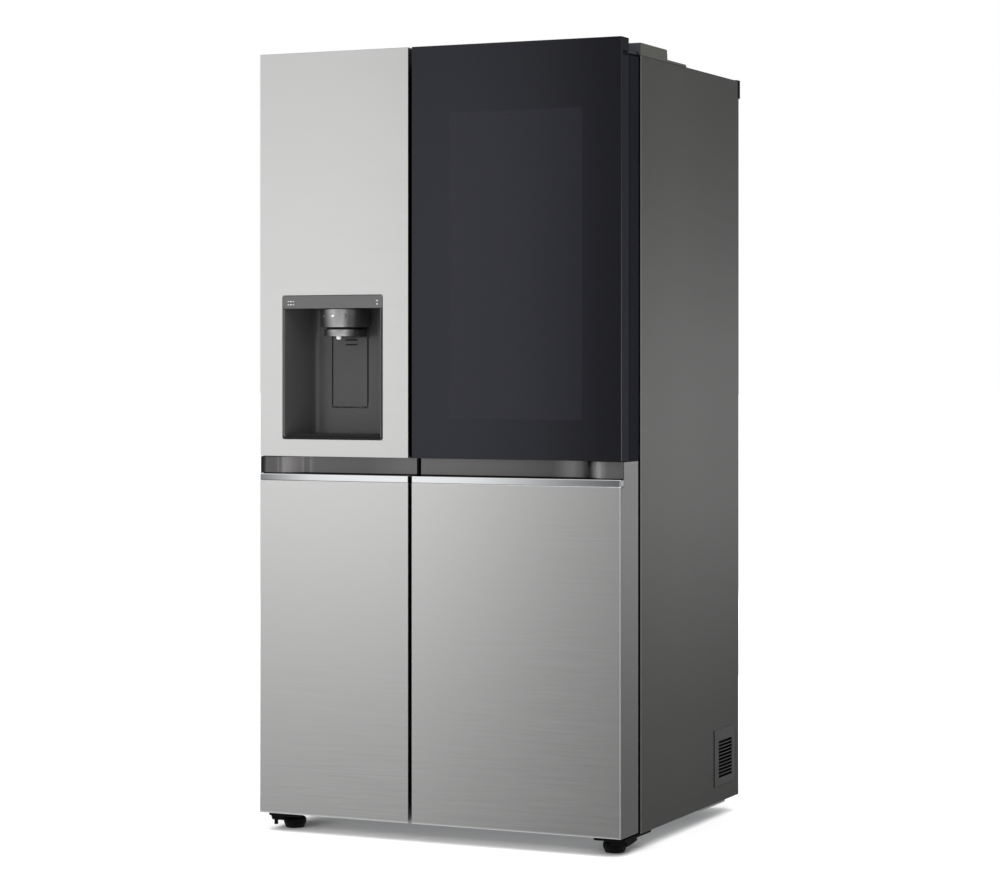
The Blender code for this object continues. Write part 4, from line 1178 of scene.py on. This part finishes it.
def back_details():
    """Pressed beads and screws on the back, and the water connection."""
    rise = CASE_BACK + 0.0022
    bead = ((0, CASE_BACK), (0.0015, rise), (0.005, rise + 0.0010), (0.0085, rise), (0.010, CASE_BACK))
    beads = bmesh.new()
    for across in ((0.070, 0.430), (0.470, 0.830)):
        upright_ring(beads, across, (0.400, 1.640), bead, 0.050)
        for up in ((0.690, 0.960), (1.060, 1.330)):
            upright_ring(beads, grown(across, -0.060), up, bead, 0.035)
    piece("back_panel_beads", beads, "cabinet", "case_paint")
    places = []
    for across in (0.012, WIDTH - 0.012):
        places += [spot(across, CASE_BACK, up) for up in spread_out(5, 0.30, 1.72)]
    places += [spot(x, CASE_BACK, 0.335) for x in spread_out(4, 0.10, 0.80)]
    screws("back_panel_screws", places, (0, 1, 0), "cabinet")
    cover = [spot(x, CASE_BACK, up) for up in (0.053, 0.311) for x in spread_out(4, -0.06, 0.96)]
    screws("machine_cover_screws", cover, (0, 1, 0), "cabinet")
    inlet = bmesh.new()
    facing_plate(inlet, about(0.862, 0.024), (CASE_BACK, CASE_BACK + 0.0024), about(0.250, 0.024), 0.006)
    thread = [(0.0115, 0.0), (0.0115, 0.0010)]
    for i in range(6):
        thread += [(0.0094, 0.0012 + i * 0.0008), (0.0101, 0.0016 + i * 0.0008)]
    thread += [(0.0090, 0.0060), (0.0060, 0.0062), (0.0055, 0.0030), (0.0004, 0.0028)]
    turned(inlet, thread, spot(0.862, 0.7526, 0.250), (0, 1, 0), 32)
    piece("water_inlet", inlet, "cabinet", "pocket_plastic")
    top = [spot(x, deep, 1.7606) for x in (0.160, 0.450, 0.740) for deep in (0.160, 0.700)]
    screws("top_panel_screws", top, (0, 0, 1), "cabinet")
    hinge = [spot(x, 0.180, 1.7886) for x in (0.055, WIDTH - 0.055)]
    screws("hinge_cover_screws", hinge, (0, 0, 1), "cabinet", "black_plastic", 0.75)


def rail_caps():
    """Black caps on the rear rail's two ends."""
    bm = bmesh.new()
    outline = [(0.7450, 1.7190), (0.7588, 1.7190), (0.7588, 1.7618), (0.7575, 1.7624), (0.7450, 1.7618)]
    for across in ((-0.0006, 0.0002), (WIDTH - 0.0002, WIDTH + 0.0006)):
        extruded(bm, outline, across)
    piece("rear_rail_caps", bm, "cabinet", "black_plastic", SOFT_BLACK)


def hinge_webs():
    """Tapered webs under the lower hinge plates, round the bolts, and flanges along their outer edges."""
    plate = 0.0301
    outline = (
        (0.0070, plate),
        (0.0085, 0.0240),
        (0.0105, 0.0200),
        (0.0390, 0.0200),
        (0.0415, 0.0220),
        (0.0415, plate),
    )
    bm = bmesh.new()
    for side, front in ((lambda x: x, 0.060), (lambda x: WIDTH - x, 0.046)):
        loft(bm, [[spot(side(x), deep, up) for x, up in outline] for deep in (0.0390, 0.0520)])
        flange = ((front, plate), (front, 0.0190), (0.0750, 0.0205), (0.1050, 0.0245), (0.1050, plate))
        extruded(bm, flange, (side(0.0045), side(0.0100)))
    piece("lower_hinge_webs", bm, "cabinet", "black_plastic", SOFT_BLACK, 0.6)


def vent_louvres():
    """Slanted slats behind the side grille's slots, on a black backing plate that stands in for the shade
    behind them.
    """
    bm = bmesh.new()
    # A black plate behind the slats, standing in for shade.
    put_box(bm, (0.8882, 0.8894), (0.592, 0.714), (0.0850, 0.1970))
    for z in spread_out(VENT_SLOTS, 0.0890, 0.1930):
        slat = [(0.8896, z + 0.0040), (0.8932, z - 0.0020), (0.8932, z - 0.0034), (0.8896, z + 0.0022)]
        loft(bm, [[spot(x, deep, up) for x, up in slat] for deep in (0.598, 0.708)])
    piece("side_vent_louvres", bm, "cabinet", "black_plastic", SOFT_BLACK)


def machine_details():
    """What shows through the grilles: the compressor's fittings and its copper lines."""
    mount = (
        (0.010, 0.0405),
        (0.011, 0.0440),
        (0.008, 0.0470),
        (0.011, 0.0500),
        (0.010, 0.0540),
        (0.004, 0.0545),
        (0.004, 0.0600),
        (0.0005, 0.0605),
    )
    bm = bmesh.new()
    for x in (0.108, 0.232):
        for deep in (0.575, 0.675):
            turned(bm, mount, spot(x, deep, 0), (0, 0, 1), 24)
    piece("compressor_mounts", bm, "cabinet", "gasket_rubber")
    box = bmesh.new()
    facing_plate(box, (0.140, 0.200), (0.532, 0.5475), (0.080, 0.140), 0.008, 0.002)
    piece("compressor_terminal_cover", box, "cabinet", "black_plastic")
    suction = (
        (0.247, 0.610, 0.120),
        (0.262, 0.606, 0.122),
        (0.280, 0.590, 0.150),
        (0.286, 0.560, 0.220),
        (0.290, 0.545, 0.290),
        (0.290, 0.540, 0.312),
    )
    discharge = (
        (0.246, 0.650, 0.100),
        (0.270, 0.655, 0.100),
        (0.310, 0.690, 0.104),
        (0.420, 0.705, 0.110),
        (0.560, 0.712, 0.110),
        (0.660, 0.716, 0.090),
        (0.720, 0.700, 0.050),
        (0.779, 0.690, 0.048),
    )
    lines = (("suction_line", suction, 0.0040), ("discharge_line", discharge, 0.0030))
    for name, points, radius in lines:
        pipe(name, points, radius, "cabinet", COPPER)
    drier = ((0.0032, 0.0), (0.0042, 0.006), (0.0095, 0.016), (0.0095, 0.07), (0.0042, 0.08), (0.0032, 0.086))
    body = turned(bmesh.new(), drier, spot(0.400, 0.700, 0.200), (1, 0, 0), 28)
    piece("filter_drier", body, "cabinet", "zinc_steel", COPPER)


camera()
lights()
world()
floor()
dress_cad_nodes()
glass_door()
dispenser_chute()
chute_details()
dispenser_details()
opening_corners()
recess_rounds()
recess_end()
seals()
shelf_details()
ceiling_lights()
air_vents()
drawer_grips()
ice_details()
back_details()
rail_caps()
hinge_webs()
vent_louvres()
machine_details()
